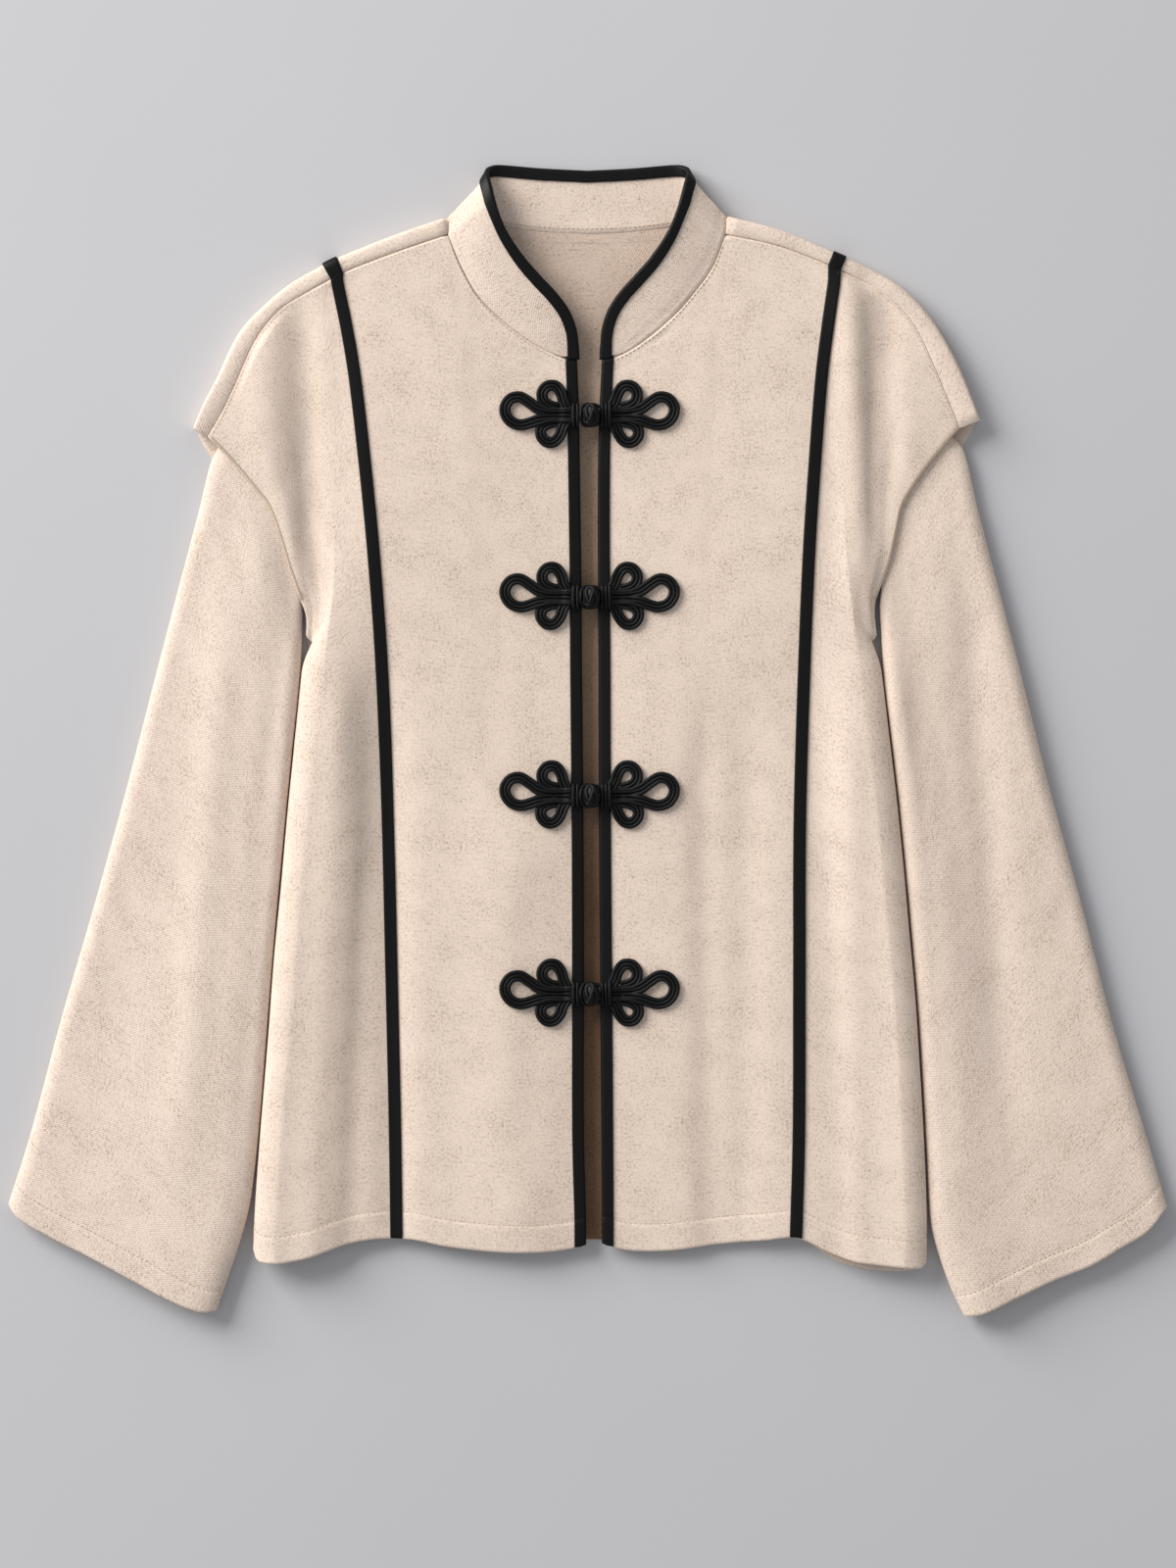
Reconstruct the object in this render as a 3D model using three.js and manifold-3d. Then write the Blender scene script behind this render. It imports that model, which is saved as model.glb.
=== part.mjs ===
// A mandarin collar blouse laid flat, front up. Millimetres; X to the viewer's right, Y towards the collar, Z up.
import * as THREE from "three";
import Module from "manifold-3d";

const wasm = await Module();
wasm.setup();

// Driving sizes
const CLOTH = 1.4;
const COLLAR_CLOTH = 1.6;
const GAP = 0.4;
const COLLAR_GAP = 0.65;
const BINDING_WIDTH = 7.6;
const BINDING_LEG = 1.0;
const BINDING_EDGE = 1.3;
const STRIP_WIDTH = 7.3;
const STRIP_THICKNESS = 1.0;
const SIDE_ROLL = 14;
const ROLL_FOOT = 1.75;
const SHOULDER_ROLL = 6.5;
const CAP_CORNER_ROLL = 2.6;
const FOLD_SQUARENESS = 0.6;
const SLEEVE_ROLL_INNER = 20;
const SLEEVE_ROLL_OUTER = 9;
const SLEEVE_HEIGHT = 15.8;
const FRONT_ROWS = 20;
const BACK_ROWS = 10;
const FROG_HEIGHTS = [205.2, 90.2, -35.3, -160.6];
// Moves the finished pieces so that the origin is under the middle of the whole
const CENTRE_SHIFT = 0.65;

const viewerLeft = {
  sign: -1,
  // the sleeve's height at its outer edge, and the share of its width over which it falls to it
  sleeveOuterHeight: 10.4,
  sleeveFall: 1,
  // columns: y, distance from the centre line
  frontEdge: [[-320, 0.8], [-301, 0.9], [-251, 2.2], [-152, 2.2], [-53, 2.5], [46, 3.4], [96, 3.7], [170, 4.7],
    [208, 5.3], [241, 6.5]],
  strip: [[-314, 120.9], [-251, 121.8], [-152, 124], [-53, 126.5], [46, 130.2], [121, 135.5], [178, 141.1],
    [230, 147.2], [260, 152.2], [290, 158.4]],
  sideEdge: [[-332, 211.4], [-301, 210.5], [-245, 206.8], [-183, 201.8], [-121, 196.8], [-49, 190], [-6, 185.7],
    [34, 181.3], [68, 177.9], [96, 174.8], [124, 174.2], [164, 177.9], [208, 181.7], [282, 184.8]],
  capEdge: [[50, 179.8], [77.5, 177.6], [91.8, 182.6], [107.9, 188.2], [127.1, 193.8], [140.4, 198.4],
    [150, 203.1], [159.3, 210.5], [170.5, 219.8], [183.5, 231.6], [191.6, 239.6]],
  // columns: distance from the centre line, y
  neck: [[6.5, 239.3], [15.2, 241.2], [34.4, 250.5], [53, 264.1], [69.8, 280.9], [81.5, 301.9], [88.3, 319.3]],
  seam: [[88.3, 319.3], [121.2, 308.1], [154.7, 295.1], [165.2, 289.5], [181.3, 280.2], [196.2, 269.7],
    [210.5, 251.1], [222.9, 223.2], [231.6, 205.2], [239.6, 191.6]],
  hem: [[0.6, -319.3], [12.1, -321.8], [29.4, -323.6], [55.5, -323.6], [90.2, -319.9], [107.6, -316.2],
    [124.9, -315], [142.3, -316.4], [159.7, -320.6], [177, -327], [194.4, -330.3], [203.1, -330.2],
    [209, -328], [211.4, -322]],
  backHem: [[0, -316.2], [62, -315.6], [150, -314.5], [177, -321], [200, -325.5], [211.4, -320.5]],
  // columns: distance from the centre line, outline beyond the seam
  shoulderReach: [[88.3, 11.2], [121.2, 11], [154.7, 10.4], [181.3, 10.8], [196.2, 9.5], [210.5, 12], [222.9, 13],
    [231.6, 13.5], [239.6, 11.5]],
  // columns: y, distance from the centre line
  sleeveInner: [[-361, 234.7], [-323, 221.6], [-300, 215], [-282, 211.8], [-245, 207.7], [-183, 202.7], [-121, 197.7],
    [-49, 190.9], [-6, 186.6], [34, 182.3], [60, 180.9], [84, 180.3]],
  sleeveOuter: [[-294, 366.7], [-251, 353.1], [-176.7, 333.2], [-102.3, 311.6], [-27.9, 291.1], [46.5, 271.9],
    [96.1, 258.9], [145.7, 245.8], [175.5, 238.4], [191, 230.5]],
  // columns: share of the way from the body to the outer edge, distance from the centre line, y
  armhole: [[0, 180.3, 84], [0.22, 184.5, 106], [0.44, 192.5, 134], [0.66, 204, 157], [0.84, 217, 174],
    [1, 230.5, 191]],
  cuff: [[0, 234.7, -360.8], [0.07, 244, -361.5], [0.2, 261.3, -355.3], [0.4, 287.4, -341.6], [0.6, 313.4, -327.4],
    [0.8, 339.4, -314.3], [0.95, 360.5, -301.9], [1, 366.7, -293.9]],
  // columns: y, distance from the centre line of the back cap below the sleeve
  backCap: [[-332, 210], [-245, 205.3], [-121, 195.3], [-6, 184.2], [60, 176.5], [78, 176], [98, 184], [128, 199],
    [160, 222], [176, 236], [186, 242.5], [196, 247.3]],
};

const viewerRight = {
  sign: 1,
  sleeveOuterHeight: 12.2,
  sleeveFall: 0.34,
  frontEdge: [[-320, 9], [-301, 9], [-251, 8.7], [-152, 7.9], [-53, 7.1], [46, 6.8], [96, 6.5], [170, 6.5],
    [208, 7.4], [241, 9]],
  strip: [[-314, 131.8], [-251, 133.6], [-152, 133.9], [-53, 134.2], [46, 137], [121, 140.1], [178, 143.8],
    [230, 147.9], [260, 151.6], [290, 155.9]],
  sideEdge: [[-334, 214.2], [-307, 214.5], [-257, 213], [-187, 209.2], [-121, 203.7], [-49, 196.8], [-6, 191.9],
    [34, 186.9], [81, 181.3], [120, 177.6], [155, 175.5], [189, 171.7], [220, 169.3], [251, 170.5], [282, 176.1]],
  capEdge: [[50, 185], [78, 181.6], [88, 182], [99.2, 186], [113.8, 191], [132.7, 195.2], [148.2, 198.7],
    [161.2, 206.2], [173.6, 214.8], [187.9, 226.6], [197, 234.5]],
  neck: [[9, 240.5], [18.3, 242.4], [35.7, 252.3], [53, 266.6], [68.5, 284], [80.3, 300.7], [87.1, 319.3]],
  seam: [[87.1, 319.3], [118.7, 312.5], [142.9, 303.8], [155.9, 298.2], [166.5, 293.3], [187.6, 281.5],
    [199.3, 270.9], [209.2, 256.7], [221, 230.6], [234.5, 197]],
  hem: [[7.8, -318.1], [25.1, -322.4], [42.5, -323], [59.8, -321.8], [77.2, -319.3], [94.5, -317.4],
    [111.9, -316.2], [131.8, -314.3], [142, -318.1], [151, -323], [168.9, -329.5], [183.8, -331.5],
    [197.5, -332.9], [210.8, -333.4], [214.2, -330.5]],
  backHem: [[0, -316.2], [62, -315.6], [124, -313.7], [137.6, -317], [155, -328], [164.3, -332], [181, -335.4],
    [204.6, -335.4], [213.3, -331.7]],
  shoulderReach: [[87.1, 12], [118.7, 10.5], [142.9, 9.5], [155.9, 9], [166.5, 9.5], [187.6, 10.2], [199.3, 11],
    [209.2, 12.5], [221, 15], [234.5, 15]],
  sleeveInner: [[-364.6, 238.4], [-345, 229], [-314, 218.8], [-298, 216.4], [-257, 214.3], [-187, 210.2], [-121, 204.7],
    [-49, 197.8], [-6, 192.9], [34, 187.9], [60, 186.2], [84, 184.6]],
  sleeveOuter: [[-295, 366.7], [-251, 353.7], [-176.7, 331.4], [-102.3, 312.2], [-27.9, 291.7], [46.5, 273.1],
    [96.1, 260.1], [145.7, 247.1], [184.8, 237.5], [194, 228.5]],
  armhole: [[0, 184.6, 84], [0.22, 187.5, 108], [0.44, 192.5, 134], [0.66, 201, 156], [0.84, 213.5, 175],
    [1, 228.5, 194]],
  cuff: [[0, 238.4, -364.6], [0.08, 249.6, -362.7], [0.22, 266.9, -354.6], [0.42, 292.9, -342.2],
    [0.62, 319, -331.7], [0.76, 336.4, -321.2], [0.9, 353.7, -310.6], [1, 366.7, -295.1]],
  backCap: [[-334, 212.8], [-257, 211.5], [-121, 202.2], [-6, 190.4], [60, 182.5], [80, 179.8], [98, 186],
    [128, 197], [160, 214], [182, 234], [194, 242], [202, 246]],
};

// Height of the front's outer face: columns y, front edge, quarter, half, strip, trough, crest of the side roll
const frontHeights = [
  [-335, 8.2, 8.8, 9.6, 9.8, 9.2, 16.5],
  [-250, 8.2, 9.2, 10, 9.8, 9, 17.5],
  [-100, 8.2, 9.6, 10.3, 10, 9.2, 17.5],
  [0, 8.3, 9.8, 10.6, 10.4, 10, 17],
  [60, 8.5, 10, 11, 11.2, 11.2, 15],
  [110, 8.8, 10.3, 11.5, 12.2, 12.5, 13.4],
  [160, 9, 10.6, 12, 12.8, 13.2, 12.6],
  [240, 9.6, 11.2, 12.6, 13, 13.2, 12.8],
  [330, 10, 12, 13, 13, 13, 13],
];
const HEIGHT_SHARES = [0, 0.25, 0.5, 0.7, 0.82, 1];

// Height of the cap's outer face: columns y, trough above the underarm, middle of the cap, edge over the sleeve
const capHeights = [
  [50, 12.5, 10.8, 9],
  [78, 12, 11.4, 10.2],
  [110, 11.8, 12.2, 11.6],
  [150, 11.8, 13, 12],
  [200, 12.6, 13, 12.2],
];

// Soft troughs in the fronts, and ridges where the depth is below zero: columns side, distance from the centre
// line at the lower and upper end, lower y, upper y, depth, half width
const softTroughs = [
  [-1, 38, 38, -290, -70, 0.9, 11],
  [-1, 177, 152, -400, 70, -4, 12],
  [-1, 170, 182, 60, 320, 2.8, 11],
  [1, 80, 72, -400, 50, 2.2, 11],
  [1, 172, 164, -400, 60, -2, 10],
  [1, 188, 173, 90, 320, 2.6, 9],
];

// The collar's free edge: columns place along the neck seam, distance from the centre line, y, height
const collarFree = [
  [0.6, 7.6, 242, 10.2],
  [1, 8, 250, 10.8],
  [1.5, 9.2, 260, 11.6],
  [2, 13.4, 271.5, 13],
  [2.5, 21, 282.2, 14.6],
  [3, 30.5, 292.4, 16],
  [3.5, 41, 304.4, 17.4],
  [4, 51, 319.3, 18.8],
  [4.5, 56.6, 332, 19.6],
  [5, 59.8, 342, 19.2],
  [5.5, 62, 350, 17.2],
  [6, 63.6, 356, 13.4],
  [6.5, 63.6, 360.4, 8.4],
  [7, 61.4, 362.4, 4.6],
  [7.5, 57, 363, 2.6],
  [8, 49, 362.6, 1.7],
  [9, 27.5, 360.8, 1.6],
  [10, 0, 359.4, 1.6],
];

const V = (x, y, z) => new THREE.Vector3(x, y, z);
const mix = (a, b, t) => a + (b - a) * t;
const smooth = (t) => {
  const c = Math.min(1, Math.max(0, t));
  return c * c * (3 - 2 * c);
};

// Straight fall with eased ends
const fallen = (t) => mix(Math.min(1, Math.max(0, t)), smooth(t), 0.4);

// Smooth interpolation of one column of a table that rises in its first column.
function read(table, t, column = 1) {
  const last = table.length - 1;
  if (t <= table[0][0]) return table[0][column];
  if (t >= table[last][0]) return table[last][column];
  let i = 0;
  while (table[i + 1][0] < t) i += 1;
  const slope = (k) => {
    const a = table[Math.max(0, k - 1)];
    const b = table[Math.min(last, k + 1)];
    return (b[column] - a[column]) / (b[0] - a[0]);
  };
  const [p, q] = [table[i], table[i + 1]];
  const h = q[0] - p[0];
  const s = (t - p[0]) / h;
  const [s2, s3] = [s * s, s * s * s];
  return (
    p[column] * (2 * s3 - 3 * s2 + 1) +
    slope(i) * h * (s3 - 2 * s2 + s) +
    q[column] * (3 * s2 - 2 * s3) +
    slope(i + 1) * h * (s3 - s2)
  );
}

const panelEdge = (side, y) => read(side.frontEdge, y) + BINDING_EDGE;
const crestLine = (side, y) => read(side.sideEdge, y) - SIDE_ROLL;

function softTrough(side, x, y) {
  let drop = 0;
  for (const [sign, xLow, xHigh, low, high, depth, half] of softTroughs) {
    if (sign !== side.sign) continue;
    const centre = mix(xLow, xHigh, (y - low) / (high - low));
    const along = smooth((y - low) / 60) * smooth((high - y) / 80);
    drop += depth * along * Math.exp(-(((x - centre) / half) ** 2));
  }
  return drop;
}

// Height of a front's outer face at a distance x from the centre line.
function frontHeight(side, x, y) {
  const inner = panelEdge(side, y);
  const share = Math.max(0, (x - inner) / (crestLine(side, y) - inner));
  const profile = HEIGHT_SHARES.map((s, i) => [s, read(frontHeights, y, i + 1)]);
  return read(profile, share) - softTrough(side, x, y);
}

// A closed wall from a grid of outer-face points; loops close the grid across its columns.
function wall(grid, thickness, { flip = false, loop = false } = {}) {
  const rows = grid.length;
  const cols = grid[0].length;
  const at = (i, j) => grid[Math.min(rows - 1, Math.max(0, i))][
    loop ? (j + cols) % cols : Math.min(cols - 1, Math.max(0, j))
  ];
  const position = [];
  const inner = [];
  for (let i = 0; i < rows; i += 1) {
    for (let j = 0; j < cols; j += 1) {
      const along = at(i + 1, j).clone().sub(at(i - 1, j));
      const across = at(i, j + 1).clone().sub(at(i, j - 1));
      const normal = across.cross(along).normalize().multiplyScalar(flip ? -1 : 1);
      const p = grid[i][j];
      position.push(p.x, p.y, p.z);
      const q = p.clone().addScaledVector(normal, -thickness);
      inner.push(q.x, q.y, q.z);
    }
  }
  position.push(...inner);
  const index = [];
  const n = rows * cols;
  const quad = (a, b, c, d) => {
    if (flip) index.push(a, c, b, a, d, c);
    else index.push(a, b, c, a, c, d);
  };
  const lastCol = loop ? cols : cols - 1;
  for (let i = 0; i < rows - 1; i += 1) {
    for (let j = 0; j < lastCol; j += 1) {
      const k = (j + 1) % cols;
      const [a, b, c, d] = [i * cols + j, i * cols + k, (i + 1) * cols + k, (i + 1) * cols + j];
      quad(a, b, c, d);
      quad(a + n, d + n, c + n, b + n);
    }
  }
  for (let j = 0; j < lastCol; j += 1) {
    const k = (j + 1) % cols;
    const top = (rows - 1) * cols;
    quad(j, j + n, k + n, k);
    quad(top + j, top + k, top + k + n, top + j + n);
  }
  if (!loop) {
    for (let i = 0; i < rows - 1; i += 1) {
      const [a, d] = [i * cols, (i + 1) * cols];
      quad(a, d, d + n, a + n);
      quad(a + cols - 1, a + cols - 1 + n, d + cols - 1 + n, d + cols - 1);
    }
  }
  const geometry = new THREE.BufferGeometry();
  geometry.setAttribute("position", new THREE.Float32BufferAttribute(position, 3));
  geometry.setIndex(index);
  return geometry;
}

// A closed bar whose section is placed on each frame; rings join their last frame to the first.
// A frame may name a second upright for the far end of its section.
function bar(frames, section, ring = false) {
  const position = [];
  for (const { p, a, b, far = b, reach = 1 } of frames) {
    for (const [s, t] of section) {
      const up = b.clone().lerp(far, Math.max(0, s / reach));
      position.push(p.x + a.x * s + up.x * t, p.y + a.y * s + up.y * t, p.z + a.z * s + up.z * t);
    }
  }
  const m = section.length;
  const n = frames.length;
  const index = [];
  for (let i = 0; i < (ring ? n : n - 1); i += 1) {
    for (let j = 0; j < m; j += 1) {
      const [i2, j2] = [(i + 1) % n, (j + 1) % m];
      index.push(i * m + j, i * m + j2, i2 * m + j2, i * m + j, i2 * m + j2, i2 * m + j);
    }
  }
  if (!ring) {
    const cap = THREE.ShapeUtils.triangulateShape(section.map(([s, t]) => new THREE.Vector2(s, t)), []);
    for (const [a, b, c] of cap) {
      index.push(c, b, a, (n - 1) * m + a, (n - 1) * m + b, (n - 1) * m + c);
    }
  }
  const geometry = new THREE.BufferGeometry();
  geometry.setAttribute("position", new THREE.Float32BufferAttribute(position, 3));
  geometry.setIndex(index);
  return outward(geometry);
}

// Turns a closed geometry's faces outward by the sign of its volume.
function outward(geometry) {
  const p = geometry.attributes.position;
  const ids = geometry.index.array;
  const corner = (i) => V().fromBufferAttribute(p, i);
  let volume = 0;
  for (let i = 0; i < ids.length; i += 3) {
    volume += corner(ids[i]).dot(corner(ids[i + 1]).cross(corner(ids[i + 2])));
  }
  if (volume < 0) {
    for (let i = 0; i < ids.length; i += 3) [ids[i], ids[i + 1]] = [ids[i + 1], ids[i]];
  }
  return geometry;
}

// Columns of a front from its edge to the crest of its side roll, as distances at a given y.
function frontColumns(side) {
  const shoulder = side.seam[0];
  const inner = (y) => panelEdge(side, y);
  const ribbon = (y, offset) => read(side.strip, y) + offset;
  const half = STRIP_WIDTH / 2;
  const neckShare = (shoulder[0] - inner(shoulder[1])) / (ribbon(shoulder[1], -half) - inner(shoulder[1]));
  const columns = [0, 0.2, 0.4, 0.6, 0.8, 1].map((f) => (y) => mix(inner(y), ribbon(y, -half), f * neckShare));
  columns.push((y) => mix(inner(y), ribbon(y, -half), mix(neckShare, 1, 0.5)));
  columns.push((y) => ribbon(y, -half), (y) => ribbon(y, 0), (y) => ribbon(y, half));
  for (const f of [0.3, 0.6, 0.8, 1]) columns.push((y) => mix(ribbon(y, half), crestLine(side, y), f));
  return columns;
}
const NECK_COLUMNS = 5;
const STRIP_COLUMN = 7;
const CREST_COLUMN = 13;
const ROLL_STEPS = 6;

const topOf = (side, x) => (x < side.seam[0][0] ? read(side.neck, x) : read(side.seam, x));

// Outer-face points of a front: rows from hem to shoulder, columns from its edge to the cap edge or side seam.
function frontGrid(side) {
  const columns = frontColumns(side);
  const ends = columns.map((column, k) => {
    let low = -320;
    let high = 300;
    for (let n = 0; n < 12; n += 1) {
      low = read(side.hem, column(low));
      high = mix(high, topOf(side, column(high)), 0.7);
    }
    if (k === NECK_COLUMNS) high = side.seam[0][1];
    return [low, high];
  });
  const rows = [];
  const [crestLow, crestHigh] = ends[CREST_COLUMN];
  const capTop = side.capEdge[side.capEdge.length - 1];
  for (let i = 0; i <= FRONT_ROWS; i += 1) {
    const v = i / FRONT_ROWS;
    const row = columns.map((column, k) => {
      const y = mix(...ends[k], v);
      return V(column(y), y, frontHeight(side, column(y), y));
    });
    const y = mix(crestLow, crestHigh, v);
    const rolled = 1 - smooth((y - 42) / 38);
    const capY = y < 50 ? y : mix(50, capTop[0], (y - 50) / (crestHigh - 50));
    const capX = capY < 50 ? read(side.sideEdge, capY) : read(side.capEdge, capY);
    const crest = row[CREST_COLUMN];
    const crestPlain = crest.z + softTrough(side, crest.x, crest.y);
    const bend = smooth((y - 120) / (crestHigh - 120)) ** 2;
    for (let j = 1; j <= ROLL_STEPS; j += 1) {
      const f = j / ROLL_STEPS;
      const seamX = mix(columns[CREST_COLUMN](crestHigh), capTop[1], f);
      const chordY = mix(crestHigh, capTop[0], f);
      const open = V(
        mix(crest.x, capX, f),
        mix(crest.y, capY, f) + bend * (topOf(side, seamX) - chordY),
        read([[0, crestPlain], [0.4, read(capHeights, capY, 1)], [0.75, read(capHeights, capY, 2)],
          [1, read(capHeights, capY, 3)]], f),
      );
      open.z -= softTrough(side, open.x, open.y) * (1 - smooth((f - 0.45) / 0.4));
      const turn = Math.PI * f;
      const drop = (crest.z - ROLL_FOOT) / 2;
      const rollX = read(side.sideEdge, y) - SIDE_ROLL * (1 - Math.sin(turn));
      const edgeX = Math.max(rollX, j > 3 ? read(side.sideEdge, y) : rollX);
      const hemShift = (read(side.hem, edgeX) - crestLow) * smooth(1 - v * 6);
      const roll = V(rollX, y + hemShift, crest.z - drop * (1 - Math.cos(turn)));
      row.push(open.lerp(roll, rolled));
    }
    rows.push(row);
  }
  return rows.map((row) => row.map((p) => V(side.sign * p.x, p.y, p.z)));
}

// Shoulder fold of the back for one side: from the flat panel round the fold to the forward seam.
function shoulderProfile(seamPoint, normal, reach, roll) {
  const base = seamPoint.clone().addScaledVector(normal, reach - roll);
  const rise = (seamPoint.z + 0.3) / 2;
  const points = [];
  for (let j = 0; j <= 6; j += 1) {
    const turn = (Math.PI * j) / 6;
    const out = roll * Math.abs(Math.sin(turn)) ** FOLD_SQUARENESS;
    const climb = 1 - Math.sign(Math.cos(turn)) * Math.abs(Math.cos(turn)) ** FOLD_SQUARENESS;
    points.push(V(base.x + normal.x * out, base.y + normal.y * out, rise * climb));
  }
  points.push(V(seamPoint.x + normal.x * GAP, seamPoint.y + normal.y * GAP, seamPoint.z));
  return points;
}

// Back neck: columns distance from the centre line, y of the flat end, turn round the fold in degrees
const backNeck = [
  [0, 320, 5],
  [27, 320.6, 8],
  [53, 322.7, 20],
  [71.5, 324.2, 62],
  [84.2, 325, 118],
];

// Profiles of the back's top for one side, from the centre line outward.
function backProfiles(side, front) {
  const top = front[FRONT_ROWS];
  const profiles = backNeck.map(([x, y, degrees]) => {
    const points = [];
    for (let j = 0; j <= 7; j += 1) {
      const turn = (THREE.MathUtils.degToRad(degrees) * j) / 7;
      points.push(V(
        side.sign * (x + 4 * (1 - Math.cos(turn)) * (degrees / 180)),
        y - 6 * (1 - j / 7) * (1 - degrees / 180) + SHOULDER_ROLL * Math.sin(turn),
        6.6 * (1 - Math.cos(turn)),
      ));
    }
    return points;
  });
  for (let k = NECK_COLUMNS; k < top.length; k += 1) {
    const before = top[Math.max(NECK_COLUMNS, k - 1)];
    const after = top[Math.min(top.length - 1, k + 1)];
    const along = after.clone().sub(before).setZ(0).normalize();
    const normal = V(-along.y * side.sign, along.x * side.sign, 0);
    const reach = read(side.shoulderReach, Math.abs(top[k].x));
    const roll = mix(SHOULDER_ROLL, CAP_CORNER_ROLL, smooth((k - 16) / 3));
    profiles.push(shoulderProfile(top[k], normal, reach, roll));
  }
  return profiles;
}

// Outer-face points of the whole back, its lower face on the ground.
function backGrid(profilesLeft, profilesRight) {
  const half = (side, profiles) => {
    const last = profiles.length - 1;
    const width = Math.abs(profiles[last][0].x);
    const capTop = profiles[last][0];
    return profiles.map((profile) => {
      const top = profile[0];
      const u = Math.abs(top.x) / width;
      const hemY = (x) => read(side.backHem, x);
      const hemWidth = side.backHem[side.backHem.length - 1][0];
      const points = [];
      for (let i = 0; i < BACK_ROWS; i += 1) {
        const v = i / BACK_ROWS;
        const sideY = mix(hemY(hemWidth), capTop.y, v);
        const sideX = read(side.backCap, sideY) - mix(read(side.backCap, hemY(hemWidth)), width, v);
        const x = mix(u * hemWidth, Math.abs(top.x), v) + u * sideX;
        points.push(V(side.sign * x, mix(hemY(u * hemWidth), top.y, v), 0));
      }
      return points.concat(profile);
    });
  };
  const left = half(viewerLeft, profilesLeft).reverse();
  const right = half(viewerRight, profilesRight).slice(1);
  const columns = left.concat(right);
  return columns[0].map((_, i) => columns.map((column) => column[i]));
}

// Section shares and heights of a flattened sleeve, round from the inner edge over the top and back below.
function sleeveGrid(side) {
  const length = 480;
  const stations = [0, 20, 33, 55];
  for (let k = 1; k <= 12; k += 1) stations.push(mix(55, length, k / 12));
  return stations.map((distance) => {
    const t = distance / length;
    const innerY = mix(side.armhole[0][2], side.cuff[0][2], t);
    const outerY = mix(side.armhole[5][2], side.cuff[7][2], t);
    const inner = V(read(side.sleeveInner, innerY), innerY, 0);
    const outer = V(read(side.sleeveOuter, outerY), outerY, 0);
    const width = inner.distanceTo(outer);
    const plan = (u) => {
      const start = V(read(side.armhole, u, 1), read(side.armhole, u, 2), 0);
      const end = V(read(side.cuff, u, 1), read(side.cuff, u, 2), 0);
      const startChord = V(mix(side.armhole[0][1], side.armhole[5][1], u),
        mix(side.armhole[0][2], side.armhole[5][2], u), 0);
      const endChord = V(mix(side.cuff[0][1], side.cuff[7][1], u), mix(side.cuff[0][2], side.cuff[7][2], u), 0);
      return inner.clone().lerp(outer, u)
        .addScaledVector(start.sub(startChord), (1 - t) ** 2)
        .addScaledVector(end.sub(endChord), t ** 4);
    };
    const foot = 1.95 * (1 - smooth((distance - 20) / 13));
    const full = smooth(distance / 90);
    const innerCrest = mix(9.4, SLEEVE_HEIGHT - 1.2 * smooth((t - 0.8) / 0.2), full);
    const outerCrest = mix(9.4, side.sleeveOuterHeight, full);
    const points = [];
    const stop = [];
    for (const a of [0, 30, 60, 90]) stop.push([SLEEVE_ROLL_INNER, a, 0]);
    for (const f of [0.18, 0.36, 0.7]) stop.push([0, 90, f]);
    for (const a of [90, 60, 30, 0]) stop.push([-SLEEVE_ROLL_OUTER, a, 1]);
    for (const [roll, a, f] of stop) {
      const turn = THREE.MathUtils.degToRad(a);
      const inset = (Math.abs(roll) * (1 - Math.cos(turn))) / width;
      const u = roll > 0 ? inset : roll < 0 ? 1 - inset : mix(SLEEVE_ROLL_INNER, width - SLEEVE_ROLL_OUTER, f) / width;
      const high = mix(innerCrest, outerCrest, fallen(f / side.sleeveFall)) - 0.35 * full * Math.sin(Math.PI * f);
      const waist = (foot + high) / 2;
      points.push({ u, low: mix(waist, foot, Math.sin(turn)), high: mix(waist, high, Math.sin(turn)) });
    }
    const ring = points.map(({ u, high }) => plan(u).setZ(high));
    for (let k = points.length - 2; k > 0; k -= 1) ring.push(plan(points[k].u).setZ(points[k].low));
    return ring.map((p) => V(side.sign * p.x, p.y, p.z));
  });
}

// Rulings of one half of the collar, from the front end to the centre back.
function collarHalf(side, front, profiles) {
  const seamPoints = front[FRONT_ROWS].slice(0, NECK_COLUMNS + 1);
  for (let k = NECK_COLUMNS - 1; k >= 0; k -= 1) seamPoints.push(profiles[k][7]);
  const onSeam = (s) => {
    const i = Math.min(seamPoints.length - 2, Math.floor(s));
    return seamPoints[i].clone().lerp(seamPoints[i + 1], s - i);
  };
  const shift = read(side.frontEdge, 241) - 7.75;
  return collarFree.map(([place, x, y, z], n) => {
    const near = 1 - smooth((n - 1) / 4);
    const free = V(side.sign * (x + shift * near), y, z);
    const seam = onSeam(place);
    const ruling = free.clone().sub(seam).normalize();
    seam.addScaledVector(ruling, n === 0 ? 0 : COLLAR_GAP);
    if (n === 0) seam.y += 0.7;
    return [0, 0.4, 0.8, 1].map((f) => {
      const p = seam.clone().lerp(free, f);
      const lift = 1.6 * Math.sin(Math.PI * f) * smooth(n / 3) * smooth((10 - n) / 2);
      return p.setZ(p.z + lift);
    });
  });
}

// A folded strip gripping one edge of a wall: edge points, inward points and face normals.
function binding(edge, inward, normals, farNormals, thickness, swell = () => 1) {
  const slot = thickness / 2 + 0.3;
  const face = slot + BINDING_LEG;
  const edgeIn = BINDING_WIDTH - BINDING_EDGE;
  const section = [
    [edgeIn, face], [0.2, face], [-0.95, face * 0.62], [-BINDING_EDGE, 0], [-0.95, -face * 0.62],
    [0.2, -face], [edgeIn, -face], [edgeIn, -slot], [-0.3, -slot], [-0.3, slot], [edgeIn, slot],
  ];
  const frames = edge.map((p, i) => {
    const middle = p.clone().addScaledVector(normals[i], -thickness / 2);
    const a = inward[i].clone().addScaledVector(farNormals[i], -thickness / 2).sub(middle);
    const reach = a.length();
    const [b, far] = [normals[i], farNormals[i]].map((n) => n.clone().multiplyScalar(swell(i)));
    return { p: middle, a: a.normalize(), b, far, reach };
  });
  return bar(frames, section);
}

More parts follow.
